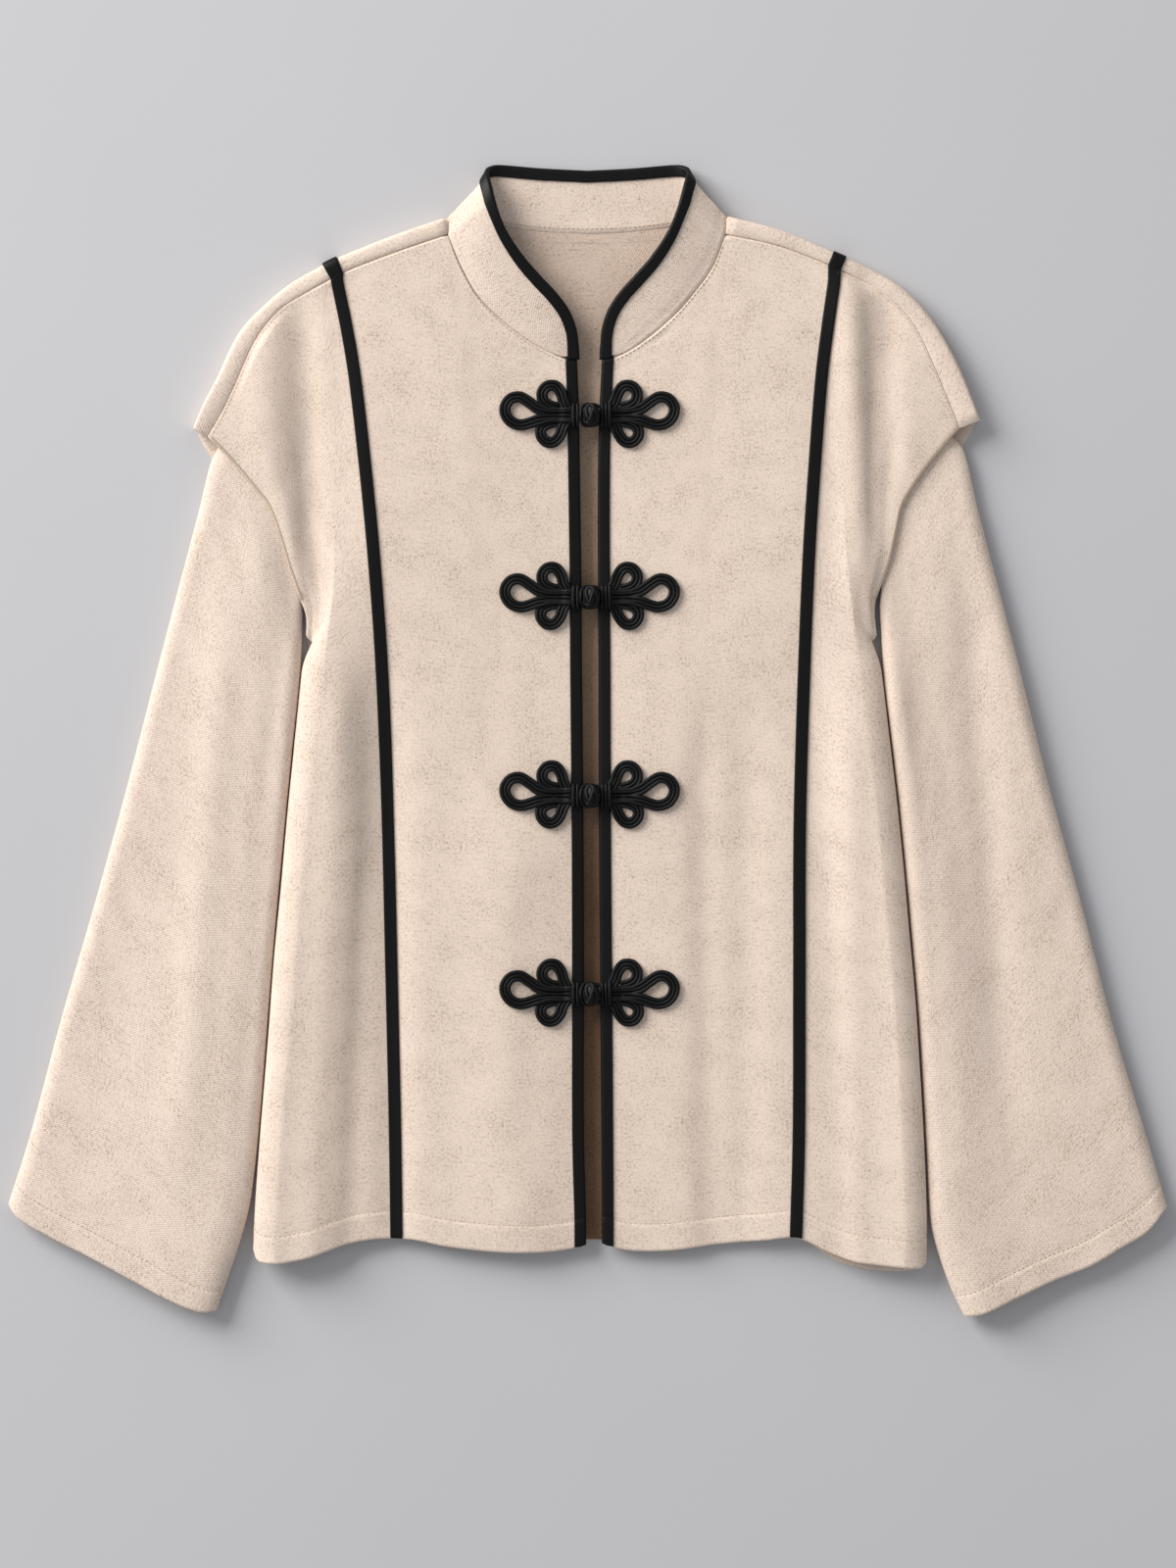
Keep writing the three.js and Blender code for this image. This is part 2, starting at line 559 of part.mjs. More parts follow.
// Face normals of one column of a grid.
function columnNormals(grid, j, flip) {
  const rows = grid.length;
  return grid.map((row, i) => {
    const along = grid[Math.min(rows - 1, i + 1)][j].clone().sub(grid[Math.max(0, i - 1)][j]);
    const across = row[Math.min(row.length - 1, j + 1)].clone().sub(row[Math.max(0, j - 1)]);
    return across.cross(along).normalize().multiplyScalar(flip ? -1 : 1);
  });
}

// A ribbon on the front panel's own points, moved out, that turns over the shoulder fold.
function stripGrid(side, front, profiles) {
  const flip = side.sign < 0;
  const columns = [0, 1, 2].map((c) => {
    const j = STRIP_COLUMN + c;
    const points = front.map((row) => row[j]);
    const place = j;
    for (let step = 7; step >= 2; step -= 1) points.push(profiles[place][step]);
    return points;
  });
  const rows = columns[0].map((_, i) => columns.map((column) => column[i].clone()));
  return rows.map((row, i) => row.map((p, j) => {
    const along = rows[Math.min(rows.length - 1, i + 1)][j].clone().sub(rows[Math.max(0, i - 1)][j]);
    const across = row[2].clone().sub(row[0]);
    const normal = across.cross(along).normalize().multiplyScalar(flip ? -1 : 1);
    const side0 = row[2].clone().sub(row[0]).normalize();
    const inset = (1 - j) * 0.02;
    return p.clone().addScaledVector(normal, GAP + STRIP_THICKNESS).addScaledVector(side0, inset);
  }));
}

// Manifold solids of a geometry, and back.
function solid(geometry) {
  return new wasm.Manifold(new wasm.Mesh({
    numProp: 3,
    vertProperties: new Float32Array(geometry.attributes.position.array),
    triVerts: new Uint32Array(geometry.index.array),
  }));
}

function unsolid(made) {
  const mesh = made.getMesh();
  const geometry = new THREE.BufferGeometry();
  geometry.setAttribute("position", new THREE.Float32BufferAttribute(mesh.vertProperties, 3));
  geometry.setIndex([...mesh.triVerts]);
  return geometry;
}

const joined = (geometries) => unsolid(geometries.map(solid).reduce((a, b) => a.add(b)));

// A wall's room: its grid moved out by a clearance on both faces.
function room(grid, thickness, clearance, options) {
  const flip = Boolean(options.flip);
  const normals = grid[0].map((_, j) => columnNormals(grid, j, flip));
  const moved = grid.map((row, i) => row.map((p, j) => p.clone().addScaledVector(normals[j][i], clearance)));
  return wall(moved, thickness + 2 * clearance, options);
}

// A flat cord band with bevelled edges, along a path in the plane.
function band(path, width, low, high, ring = false) {
  const n = path.length;
  const frames = path.map(([x, y], i) => {
    const p = path[ring ? (i + n - 1) % n : Math.max(0, i - 1)];
    const q = path[ring ? (i + 1) % n : Math.min(n - 1, i + 1)];
    const along = V(q[0] - p[0], q[1] - p[1], 0).normalize();
    return { p: V(x, y, 0), a: V(-along.y, along.x, 0), b: V(0, 0, 1) };
  });
  const [w, edge] = [width / 2, (high - low) * 0.3];
  const section = [[w - 0.7, low], [w, low + edge], [w - 0.9, high], [0.9 - w, high], [-w, low + edge], [0.7 - w, low]];
  return bar(frames, section, ring);
}

const circle = (x, y, radius, count, turn) => Array.from({ length: count }, (_, i) => {
  const a = turn + (i / count) * 2 * Math.PI;
  return [x + radius * Math.cos(a), y + radius * Math.sin(a)];
});

// The loops and stem of half a frog, drawn flat to the right of the centre line; the loop half lies further out.
const LOOP_HALF_SHIFT = 2.6;
const LARGE_LOOP = [[25, 2.6], [31, 3.6], [36.5, 7.6], [42.5, 11.4], [48.4, 10.4], [52, 5.4], [51.6, 0.2], [48, -4.4],
  [42, -6.2], [36, -4.6], [31, -2.6], [25, -2.4]];

function frogHalf(shift) {
  const stem = Array.from({ length: 7 }, (_, i) => [mix(9, 30.6 + shift, i / 6), 0]);
  return [
    band(LARGE_LOOP.map(([x, y]) => [x + shift, y]), 7.2, 0.06, 2.6),
    band(circle(22.4 + shift, 12.9, 6.3, 11, 0.1), 7.2, 0.03, 2.4, true),
    band(circle(23.3 + shift, -11.4, 6.1, 11, 0.2), 7.2, 0, 2.5, true),
    band(stem, 11.4, 0.1, 3.1),
  ];
}

const BUTTON = { x: -2.6, z: 6.6, wide: 5.2, tall: 8.9, deep: 4.6 };

// A knot button with its neck, in the frame of the half it is sewn to.
function buttonKnot() {
  const ball = new THREE.SphereGeometry(1, 10, 7).rotateZ(Math.PI / 2);
  ball.scale(BUTTON.wide, BUTTON.tall, BUTTON.deep).translate(BUTTON.x, 0, BUTTON.z);
  const place = ball.attributes.position;
  const index = [];
  const points = [];
  const keys = new Map();
  const id = (i) => {
    const key = [place.getX(i), place.getY(i), place.getZ(i)].map((c) => c.toFixed(4)).join();
    if (!keys.has(key)) {
      keys.set(key, points.length / 3);
      points.push(place.getX(i), place.getY(i), place.getZ(i));
    }
    return keys.get(key);
  };
  const faces = ball.index.array;
  for (let i = 0; i < faces.length; i += 3) {
    const [a, b, c] = [id(faces[i]), id(faces[i + 1]), id(faces[i + 2])];
    if (a !== b && b !== c && c !== a) index.push(a, b, c);
  }
  const geometry = new THREE.BufferGeometry();
  geometry.setAttribute("position", new THREE.Float32BufferAttribute(points, 3));
  geometry.setIndex(index);
  const frames = [9.5, 6, 3.4, 0.5].map((x, i) => ({
    p: V(x, 0, [2.1, 2.2, 2.6, 4.4][i]), a: V(0, 1, 0), b: V(0, 0, 1),
  }));
  const neck = bar(frames, circle(0, 0, 1.7, 8, 0.2));
  return [outward(geometry), neck];
}

// The cord loop that passes round the button's neck.
function buttonLoop() {
  const half = [[10, 3.6, 1.9], [7, 5.6, 1.5], [2, 6.4, 1.5], [-2.2, 6, 2.2], [-3.9, 3.7, 4.3], [-4.3, 1.2, 5.7]];
  const path = half.concat(half.slice().reverse().map(([x, y, z]) => [x, -y, z]));
  const points = path.map((p) => V(...p));
  const frames = points.map((p, i) => {
    const along = points[Math.min(points.length - 1, i + 1)].clone().sub(points[Math.max(0, i - 1)]).normalize();
    const a = V(-along.y, along.x, 0).normalize();
    return { p, a, b: along.clone().cross(a).normalize() };
  });
  return bar(frames, circle(0, 0, 1.05, 6, 0.3));
}

// Lifts a flat half frog onto a front and its binding.
function laid(geometry, side, height) {
  const p = geometry.attributes.position;
  const edge = read(side.frontEdge, height);
  for (let i = 0; i < p.count; i += 1) {
    const [x, y] = [p.getX(i), p.getY(i) + height];
    const onBinding = 1 - smooth((x - edge - 8.8) / 4.5);
    const inner = Math.max(x, panelEdge(side, y));
    p.setXYZ(i, side.sign * x, y, p.getZ(i) + frontHeight(side, inner, y) + 0.45 + 1.3 * onBinding);
  }
  return outward(geometry);
}

// Materials
const cloth = () => new THREE.MeshStandardMaterial({ color: "#ddcbb4", roughness: 0.92, metalness: 0 });
const satin = () => new THREE.MeshStandardMaterial({ color: "#0c0c0f", roughness: 0.38, metalness: 0 });
const cord = () => new THREE.MeshStandardMaterial({ color: "#0b0b0c", roughness: 0.6, metalness: 0 });

// Assembly
const group = new THREE.Group();
function add(name, geometry, material) {
  const flat = geometry.toNonIndexed();
  flat.translate(0, CENTRE_SHIFT, 0);
  flat.computeVertexNormals();
  const mesh = new THREE.Mesh(flat, material);
  mesh.name = name;
  group.add(mesh);
}

const fronts = new Map([viewerLeft, viewerRight].map((side) => [side, frontGrid(side)]));
const profiles = new Map([viewerLeft, viewerRight].map((side) => [side, backProfiles(side, fronts.get(side))]));
add("back", wall(backGrid(profiles.get(viewerLeft), profiles.get(viewerRight)), CLOTH, { flip: true }),
  cloth());

for (const [side, name] of [[viewerLeft, "right"], [viewerRight, "left"]]) {
  const front = fronts.get(side);
  const flip = side.sign < 0;
  add(`front_${name}`, wall(front, CLOTH, { flip }), cloth());
  add(`sleeve_${name}`, wall(sleeveGrid(side), CLOTH, { flip: !flip, loop: true }), cloth());
  add(`binding_front_${name}`,
    binding(front.map((row) => row[0]), front.map((row) => row[1]), columnNormals(front, 0, flip),
      columnNormals(front, 1, flip), CLOTH), satin());
  add(`strip_${name}`, wall(stripGrid(side, front, profiles.get(side)), STRIP_THICKNESS, { flip }), satin());
}

const rightHalf = collarHalf(viewerRight, fronts.get(viewerRight), profiles.get(viewerRight));
const leftHalf = collarHalf(viewerLeft, fronts.get(viewerLeft), profiles.get(viewerLeft));
const rulings = leftHalf.concat(rightHalf.reverse().slice(1));
const COLLAR_FLIP = false;
add("collar", wall(rulings, COLLAR_CLOTH, { flip: COLLAR_FLIP }), cloth());
const cornerSwell = (i) => 1 + 0.35 * Math.exp(-(((Math.min(i, rulings.length - 1 - i) - 11) / 2) ** 2));
const collarBinding = binding(rulings.map((r) => r[3]), rulings.map((r) => r[2]),
  columnNormals(rulings, 3, COLLAR_FLIP), columnNormals(rulings, 2, COLLAR_FLIP), COLLAR_CLOTH, cornerSwell);
add("binding_collar",
  unsolid(solid(collarBinding).subtract(solid(room(rulings, COLLAR_CLOTH, 0.2, { flip: COLLAR_FLIP })))), satin());

FROG_HEIGHTS.forEach((height, i) => {
  const wrap = (from, to) => band([[from, 0], [to, 0]], 14.6, 0.02, 4.3);
  add(`frog_knot_${i + 1}`,
    laid(joined([...frogHalf(0), wrap(5.7, 10), ...buttonKnot()]), viewerLeft, height), cord());
  add(`frog_loop_${i + 1}`,
    laid(joined([...frogHalf(LOOP_HALF_SHIFT), wrap(8.4, 14.8), buttonLoop()]), viewerRight, height), cord());
});

export default group;
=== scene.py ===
"""A mandarin collar blouse laid flat, front up. Tables are in millimetres and meshes are made in metres."""
import math

import bpy
import numpy as np
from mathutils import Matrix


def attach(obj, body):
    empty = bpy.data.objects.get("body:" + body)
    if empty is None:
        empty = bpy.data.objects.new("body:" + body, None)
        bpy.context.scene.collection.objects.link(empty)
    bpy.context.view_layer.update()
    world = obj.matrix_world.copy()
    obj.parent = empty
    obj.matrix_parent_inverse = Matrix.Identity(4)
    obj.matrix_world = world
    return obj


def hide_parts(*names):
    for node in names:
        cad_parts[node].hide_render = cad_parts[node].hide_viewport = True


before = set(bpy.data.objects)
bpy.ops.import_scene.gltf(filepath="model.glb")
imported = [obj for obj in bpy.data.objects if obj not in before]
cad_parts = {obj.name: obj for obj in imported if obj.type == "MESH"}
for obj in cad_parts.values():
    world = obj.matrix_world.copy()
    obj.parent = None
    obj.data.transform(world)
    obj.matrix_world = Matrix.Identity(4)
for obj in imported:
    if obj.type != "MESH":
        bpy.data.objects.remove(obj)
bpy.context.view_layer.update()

# Driving sizes
CLOTH = 1.4
COLLAR_CLOTH = 1.6
GAP = 0.4
COLLAR_GAP = 0.65
BINDING_WIDTH = 7.6
BINDING_EDGE = 1.3
BINDING_LAP = 1.5
BINDING_CLEARANCE = 0.25
BINDING_RISE = 1.15
STRIP_WIDTH = 7.3
STRIP_THICKNESS = 1.0
SIDE_ROLL = 14
ROLL_FOOT = 1.75
SHOULDER_ROLL = 6.5
CAP_CORNER_ROLL = 2.6
FOLD_SQUARENESS = 0.55
FOLD_POINTS = 22
RIBBON_FOLD_POINTS = 16
SEAM_DIP = 0.5
SLEEVE_ROLL_INNER = 20
SLEEVE_ROLL_OUTER = 9
SLEEVE_HEIGHT = 15.8
SLEEVE_RUN = 480.0
SLEEVE_LIFT = 1.95
ARMHOLE_HEIGHT = 9.4
HEM_DEPTH = 17
CUFF_DEPTH = 14
FROG_HEIGHTS = [205.2, 90.2, -35.3, -160.6]
CENTRE_SHIFT = 0.65
MM = 0.001

# Columns of a front: neck point, ribbon's edges, crest of the side roll, outer edge of the roll or cap
NECK_COLUMN = 5
RIBBON_IN = 7
RIBBON_OUT = 9
CREST_COLUMN = 13
EDGE_COLUMN = 19

# Places along the body, as y: underarm, start and length of the roll's opening, start of the cap's bend
UNDERARM_Y = 50
ROLL_OPENS_Y = 42
ROLL_OPENING = 38
CAP_BEND_Y = 120

# Stitch rows of a front, for hem, shoulder and neck: columns first and last column, points, whether counted
# from the hem, distance from the hem or top, stitch length, spacing, thread radius, lift
FRONT_STITCH_ROWS = [
    (0.3, 17.5, 500, True, HEM_DEPTH, 2.1, 3.1, 0.26, 0.12),
    (5.1, 18.9, 500, False, 1.7, 1.9, 2.8, 0.14, 0.04),
    (0.35, 4.9, 300, False, 2.0, 2.0, 2.9, 0.24, 0.12),
]

# Overlock threads on the cap's edge: lowest y, distance from one to the next, reach inwards, slant along the
# edge, thread radius and lift, and a column inside the edge that gives the way in
OVERLOCK_START = 88
OVERLOCK_PITCH = 1.15
OVERLOCK_WIDTH = 2.0
OVERLOCK_SLANT = 0.9
OVERLOCK_RADIUS = 0.3
OVERLOCK_LIFT = 0.1
OVERLOCK_COLUMN = 18.3

# Points round a sleeve that lie on its top, and the one along which the cuff's hem is measured
SLEEVE_TOP_POINTS = (2, 54)
CUFF_POINT = 20

# Camera and picture
PIXEL_MM = 0.62
PICTURE_HEIGHT_PX = 1600
CAMERA_CENTRE_MM = (0.3, -27.9 + CENTRE_SHIFT)
CAMERA_DISTANCE = 4.0
CAMERA_LEVEL = 0.008
SENSOR = 36

LEFT = {
    "sign": -1,
    # the sleeve's height at its outer edge, and the share of its width over which it falls to it
    "sleeve_outer_height": 10.4,
    "sleeve_fall": 1,
    "collar_lift": 1.6,
    # columns: y, distance from the centre line
    "front_edge": [
        (-320, 0.8), (-301, 0.9), (-251, 2.2), (-152, 2.2), (-53, 2.5), (46, 3.4), (96, 3.7), (170, 4.7),
        (208, 5.3), (241, 6.5),
    ],
    "strip": [
        (-314, 120.9), (-251, 121.8), (-152, 124), (-53, 126.5), (46, 130.2), (121, 135.5), (178, 141.1),
        (230, 147.2), (260, 152.2), (290, 158.4),
    ],
    "side_edge": [
        (-332, 211.4), (-301, 210.5), (-245, 206.8), (-183, 201.8), (-121, 196.8), (-49, 190), (-6, 185.7),
        (34, 181.3), (68, 177.9), (96, 174.8), (124, 174.2), (164, 177.9), (208, 181.7), (282, 184.8),
    ],
    "cap_edge": [
        (50, 179.8), (77.5, 177.6), (91.8, 182.6), (107.9, 188.2), (127.1, 193.8), (140.4, 198.4),
        (150, 203.1), (159.3, 210.5), (170.5, 219.8), (183.5, 231.6), (191.6, 239.6),
    ],
    # columns: distance from the centre line, y
    "neck": [
        (6.5, 239.3), (15.2, 241.2), (34.4, 250.5), (53, 264.1), (69.8, 280.9), (81.5, 301.9),
        (88.3, 319.3),
    ],
    "seam": [
        (88.3, 319.3), (121.2, 308.1), (154.7, 295.1), (165.2, 289.5), (181.3, 280.2), (196.2, 269.7),
        (210.5, 251.1), (222.9, 223.2), (231.6, 205.2), (239.6, 191.6),
    ],
    "hem": [
        (0.6, -319.3), (12.1, -321.8), (29.4, -323.6), (55.5, -323.6), (90.2, -319.9), (107.6, -316.2),
        (124.9, -315), (142.3, -316.4), (159.7, -320.6), (177, -327), (194.4, -330.3), (203.1, -330.2),
        (209, -328), (211.4, -322),
    ],
    "back_hem": [(0, -316.2), (62, -315.6), (150, -314.5), (177, -321), (200, -325.5), (211.4, -320.5)],
    # columns: distance from the centre line, outline beyond the seam
    "shoulder_reach": [
        (88.3, 11.2), (121.2, 11), (154.7, 10.4), (181.3, 10.8), (196.2, 9.5), (210.5, 12), (222.9, 13),
        (231.6, 13.5), (239.6, 11.5),
    ],
    # columns: y, distance from the centre line
    "sleeve_inner": [
        (-361, 234.7), (-323, 221.6), (-300, 215), (-282, 211.8), (-245, 207.7), (-183, 202.7),
        (-121, 197.7), (-49, 190.9), (-6, 186.6), (34, 182.3), (60, 180.9), (84, 180.3),
    ],
    "sleeve_outer": [
        (-294, 366.7), (-251, 353.1), (-176.7, 333.2), (-102.3, 311.6), (-27.9, 291.1), (46.5, 271.9),
        (96.1, 258.9), (145.7, 245.8), (175.5, 238.4), (191, 230.5),
    ],
    # columns: share of the way from the body to the outer edge, distance from the centre line, y
    "armhole": [
        (0, 180.3, 84), (0.22, 184.5, 106), (0.44, 192.5, 134), (0.66, 204, 157), (0.84, 217, 174),
        (1, 230.5, 191),
    ],
    "cuff": [
        (0, 234.7, -360.8), (0.07, 244, -361.5), (0.2, 261.3, -355.3), (0.4, 287.4, -341.6),
        (0.6, 313.4, -327.4), (0.8, 339.4, -314.3), (0.95, 360.5, -301.9), (1, 366.7, -293.9),
    ],
    # columns: y, distance from the centre line
    "back_cap": [
        (-332, 210), (-245, 205.3), (-121, 195.3), (-6, 184.2), (60, 176.5), (78, 176), (98, 184),
        (128, 199), (160, 222), (176, 236), (186, 242.5), (196, 247.3),
    ],
}

RIGHT = {
    "sign": 1,
    "sleeve_outer_height": 12.2,
    "sleeve_fall": 0.34,
    "collar_lift": 0.2,
    "front_edge": [
        (-320, 9), (-301, 9), (-251, 8.7), (-152, 7.9), (-53, 7.1), (46, 6.8), (96, 6.5), (170, 6.5),
        (208, 7.4), (241, 9),
    ],
    "strip": [
        (-314, 131.8), (-251, 133.6), (-152, 133.9), (-53, 134.2), (46, 137), (121, 140.1), (178, 143.8),
        (230, 147.9), (260, 151.6), (290, 155.9),
    ],
    "side_edge": [
        (-334, 214.2), (-307, 214.5), (-257, 213), (-187, 209.2), (-121, 203.7), (-49, 196.8), (-6, 191.9),
        (34, 186.9), (81, 181.3), (120, 177.6), (155, 175.5), (189, 171.7), (220, 169.3), (251, 170.5),
        (282, 176.1),
    ],
    "cap_edge": [
        (50, 185), (78, 181.6), (88, 182), (99.2, 186), (113.8, 191), (132.7, 195.2), (148.2, 198.7),
        (161.2, 206.2), (173.6, 214.8), (187.9, 226.6), (197, 234.5),
    ],
    "neck": [
        (9, 240.5), (18.3, 242.4), (35.7, 252.3), (53, 266.6), (68.5, 284), (80.3, 300.7), (87.1, 319.3),
    ],
    "seam": [
        (87.1, 319.3), (118.7, 312.5), (142.9, 303.8), (155.9, 298.2), (166.5, 293.3), (187.6, 281.5),
        (199.3, 270.9), (209.2, 256.7), (221, 230.6), (234.5, 197),
    ],
    "hem": [
        (7.8, -318.1), (25.1, -322.4), (42.5, -323), (59.8, -321.8), (77.2, -319.3), (94.5, -317.4),
        (111.9, -316.2), (131.8, -314.3), (142, -318.1), (151, -323), (168.9, -329.5), (183.8, -331.5),
        (197.5, -332.9), (210.8, -333.4), (214.2, -330.5),
    ],
    "back_hem": [
        (0, -316.2), (62, -315.6), (124, -313.7), (137.6, -317), (155, -328), (164.3, -332), (181, -335.4),
        (204.6, -335.4), (213.3, -331.7),
    ],
    "shoulder_reach": [
        (87.1, 12), (118.7, 10.5), (142.9, 9.5), (155.9, 9), (166.5, 9.5), (187.6, 10.2), (199.3, 11),
        (209.2, 12.5), (221, 15), (234.5, 15),
    ],
    "sleeve_inner": [
        (-364.6, 238.4), (-345, 229), (-314, 218.8), (-298, 216.4), (-257, 214.3), (-187, 210.2),
        (-121, 204.7), (-49, 197.8), (-6, 192.9), (34, 187.9), (60, 186.2), (84, 184.6),
    ],
    "sleeve_outer": [
        (-295, 366.7), (-251, 353.7), (-176.7, 331.4), (-102.3, 312.2), (-27.9, 291.7), (46.5, 273.1),
        (96.1, 260.1), (145.7, 247.1), (184.8, 237.5), (194, 228.5),
    ],
    "armhole": [
        (0, 184.6, 84), (0.22, 187.5, 108), (0.44, 192.5, 134), (0.66, 201, 156), (0.84, 213.5, 175),
        (1, 228.5, 194),
    ],
    "cuff": [
        (0, 238.4, -364.6), (0.08, 249.6, -362.7), (0.22, 266.9, -354.6), (0.42, 292.9, -342.2),
        (0.62, 319, -331.7), (0.76, 336.4, -321.2), (0.9, 353.7, -310.6), (1, 366.7, -295.1),
    ],
    "back_cap": [
        (-334, 212.8), (-257, 211.5), (-121, 202.2), (-6, 190.4), (60, 182.5), (80, 179.8), (98, 186),
        (128, 197), (160, 214), (182, 234), (194, 242), (202, 246),
    ],
}

# Height of the front's outer face: columns y, then from the front edge to the crest of the side roll at the
# shares in HEIGHT_SHARES
FRONT_HEIGHTS = [
    (-335, 8.2, 8.8, 9.6, 9.8, 9.2, 16.5),
    (-250, 8.2, 9.2, 10, 9.8, 9, 17.5),
    (-100, 8.2, 9.6, 10.3, 10, 9.2, 17.5),
    (0, 8.3, 9.8, 10.6, 10.4, 10, 17),
    (60, 8.5, 10, 11, 11.2, 11.2, 15),
    (110, 8.8, 10.3, 11.5, 12.2, 12.5, 13.4),
    (160, 9, 10.6, 12, 12.8, 13.2, 12.6),
    (240, 9.6, 11.2, 12.6, 13, 13.2, 12.8),
    (330, 10, 12, 13, 13, 13, 13),
]
HEIGHT_SHARES = [0, 0.25, 0.5, 0.7, 0.82, 1]

# Height of the cap's outer face: columns y, trough above the underarm, middle of the cap, edge on the sleeve
CAP_HEIGHTS = [
    (50, 12.5, 10.8, 9),
    (78, 12, 11.4, 10.2),
    (110, 11.8, 12.2, 11.6),
    (150, 11.8, 13, 12),
    (200, 12.6, 13, 12.2),
]

# Soft troughs in the fronts, and ridges where the depth is below zero: columns side, distance from the centre
# line at the lower and upper end, lower y, upper y, depth, half width
SOFT_TROUGHS = [
    (-1, 38, 38, -290, -70, 0.9, 11),
    (-1, 177, 152, -400, 70, -4, 12),
    (-1, 170, 182, 60, 320, 2.8, 11),
    (1, 80, 72, -400, 50, 2.2, 11),
    (1, 172, 164, -400, 60, -2, 10),
    (1, 188, 173, 90, 320, 2.6, 9),
]

# Soft creases, each a line with a rounded section, and ridges where the depth is below zero: columns
# x1, y1, x2, y2, depth, half width
CREASES = [
    (241, 90, 264, -200, 2.6, 12),
    (203, 60, 229, -257, 1.3, 8),
    (300, -60, 330, -230, 0.6, 16),
    (-288, -90, -312, -262, 0.9, 18),
    (-194, 50, -219, -245, 1.8, 9),
    (-229, 70, -256, -250, -2.2, 13),
    (-245, 120, -262, 20, 0.6, 14),
    (-157, 275, -157, 70, 1, 12),
    (-180, 150, -174, 60, 1.8, 8),
    (-203, 262, -203, 100, -3, 14),
    (-160, 50, -186, -330, -2.4, 16),
    (-147, -30, -161, -330, -3.2, 10),
    (-126, 20, -122, -330, 3.2, 11),
    (-46, -60, -46, -330, -3.6, 28),
    (100, -10, 97, -330, 2.6, 14),
    (167, 285, 173, 95, -5, 12),
    (189, 285, 190, 130, 2.4, 10),
    (157, 10, 158, -330, -1.6, 14),
    (172, 10, 183, -330, -1.3, 14),
    (20, 246, 52, 258, 0.7, 3.5),
    (24, 238, 60, 222, 0.5, 6),
    (-24, 236, -70, 214, 0.5, 8),
    (-60, 60, -86, -60, 0.4, 14),
    (96, 40, 84, -90, 0.4, 14),
    (-170, 196, -196, 150, 0.6, 10),
    (186, 190, 204, 152, 0.6, 9),
]

# Back neck: the fold's lean outwards, the flat run before it, half its height, and a table with columns
# distance from the centre line, y of the flat end, turn round the fold in degrees
NECK_FOLD_LEAN = 4
NECK_FOLD_RUN = 6
NECK_FOLD_RISE = 6.6
BACK_NECK = [
    (0, 320, 5),
    (27, 320.6, 8),
    (53, 322.7, 20),
    (71.5, 324.2, 62),
    (84.2, 325, 118),
]

# The collar's free edge, for a front edge at that distance from the centre line: columns place along the neck
# seam, distance from the centre line, y, height
COLLAR_FRONT_Y = 241
COLLAR_TABLE_EDGE = 7.75
COLLAR_FREE = [
    (0.6, 7.6, 242, 10.2),
    (1, 8, 250, 10.8),
    (1.5, 9.2, 260, 11.6),
    (2, 13.4, 271.5, 13),
    (2.5, 21, 282.2, 14.6),
    (3, 30.5, 292.4, 16),
    (3.5, 41, 304.4, 17.4),
    (4, 51, 319.3, 18.8),
    (4.5, 56.6, 332, 19.6),
    (5, 59.8, 342, 19.2),
    (5.5, 62, 350, 17.2),
    (6, 63.6, 356, 13.4),
    (6.5, 63.6, 360.4, 8.4),
    (7, 61.4, 362.4, 4.6),
    (7.5, 57, 363, 2.6),
    (8, 49, 362.6, 1.7),
    (9, 27.5, 360.8, 1.6),
    (10, 0, 359.4, 1.6),
]

# Light
KEY_PLACE = (-4.0, 3.0, 2.4)
KEY_SIZE = 3.4
KEY_WATTS = 438
KEY_COLOUR = (1, 0.985, 0.96)
SURROUND_STRENGTH = 0.45
SURROUND_COLOUR = (0.95, 0.97, 1, 1)

# Finish
FLOOR_HALF = 14.0
FLOOR_COLOUR = (0.56, 0.556, 0.572)
CLOTH_LIGHT = (0.79, 0.648, 0.545)
CLOTH_DARK = (0.42, 0.30, 0.215)
THREAD_COLOUR = (0.6, 0.48, 0.36)
BLACK_SATIN = (0.0045, 0.0045, 0.005)
BLACK_CORD = (0.004, 0.004, 0.0045)
THREAD_PITCH_MM = 0.75
# Painted shade on the back's inner face, standing in for the shadow in the neck and between the fronts, in
# metres: y of the neck's top and of the lowest tone, the neck's half width, and the painted shade tones on
# the way down
PAINTED_SHADE_TOP = 0.325
PAINTED_SHADE_LOW = -0.1
NECK_HALF = 0.078
PAINTED_SHADE_TONES = [(0.0, (0.84, 0.81, 0.79)), (0.12, (0.78, 0.74, 0.71)), (0.25, (0.72, 0.65, 0.58)),
               (0.42, (0.62, 0.52, 0.43)), (1.0, (0.27, 0.19, 0.13))]


# Curves and tables

def mix(a, b, t):
    return a + (b - a) * t


def smooth(t):
    """Zero below 0, one above 1, and 3t squared less 2t cubed between."""
    c = np.clip(t, 0, 1)
    return c * c * (3 - 2 * c)


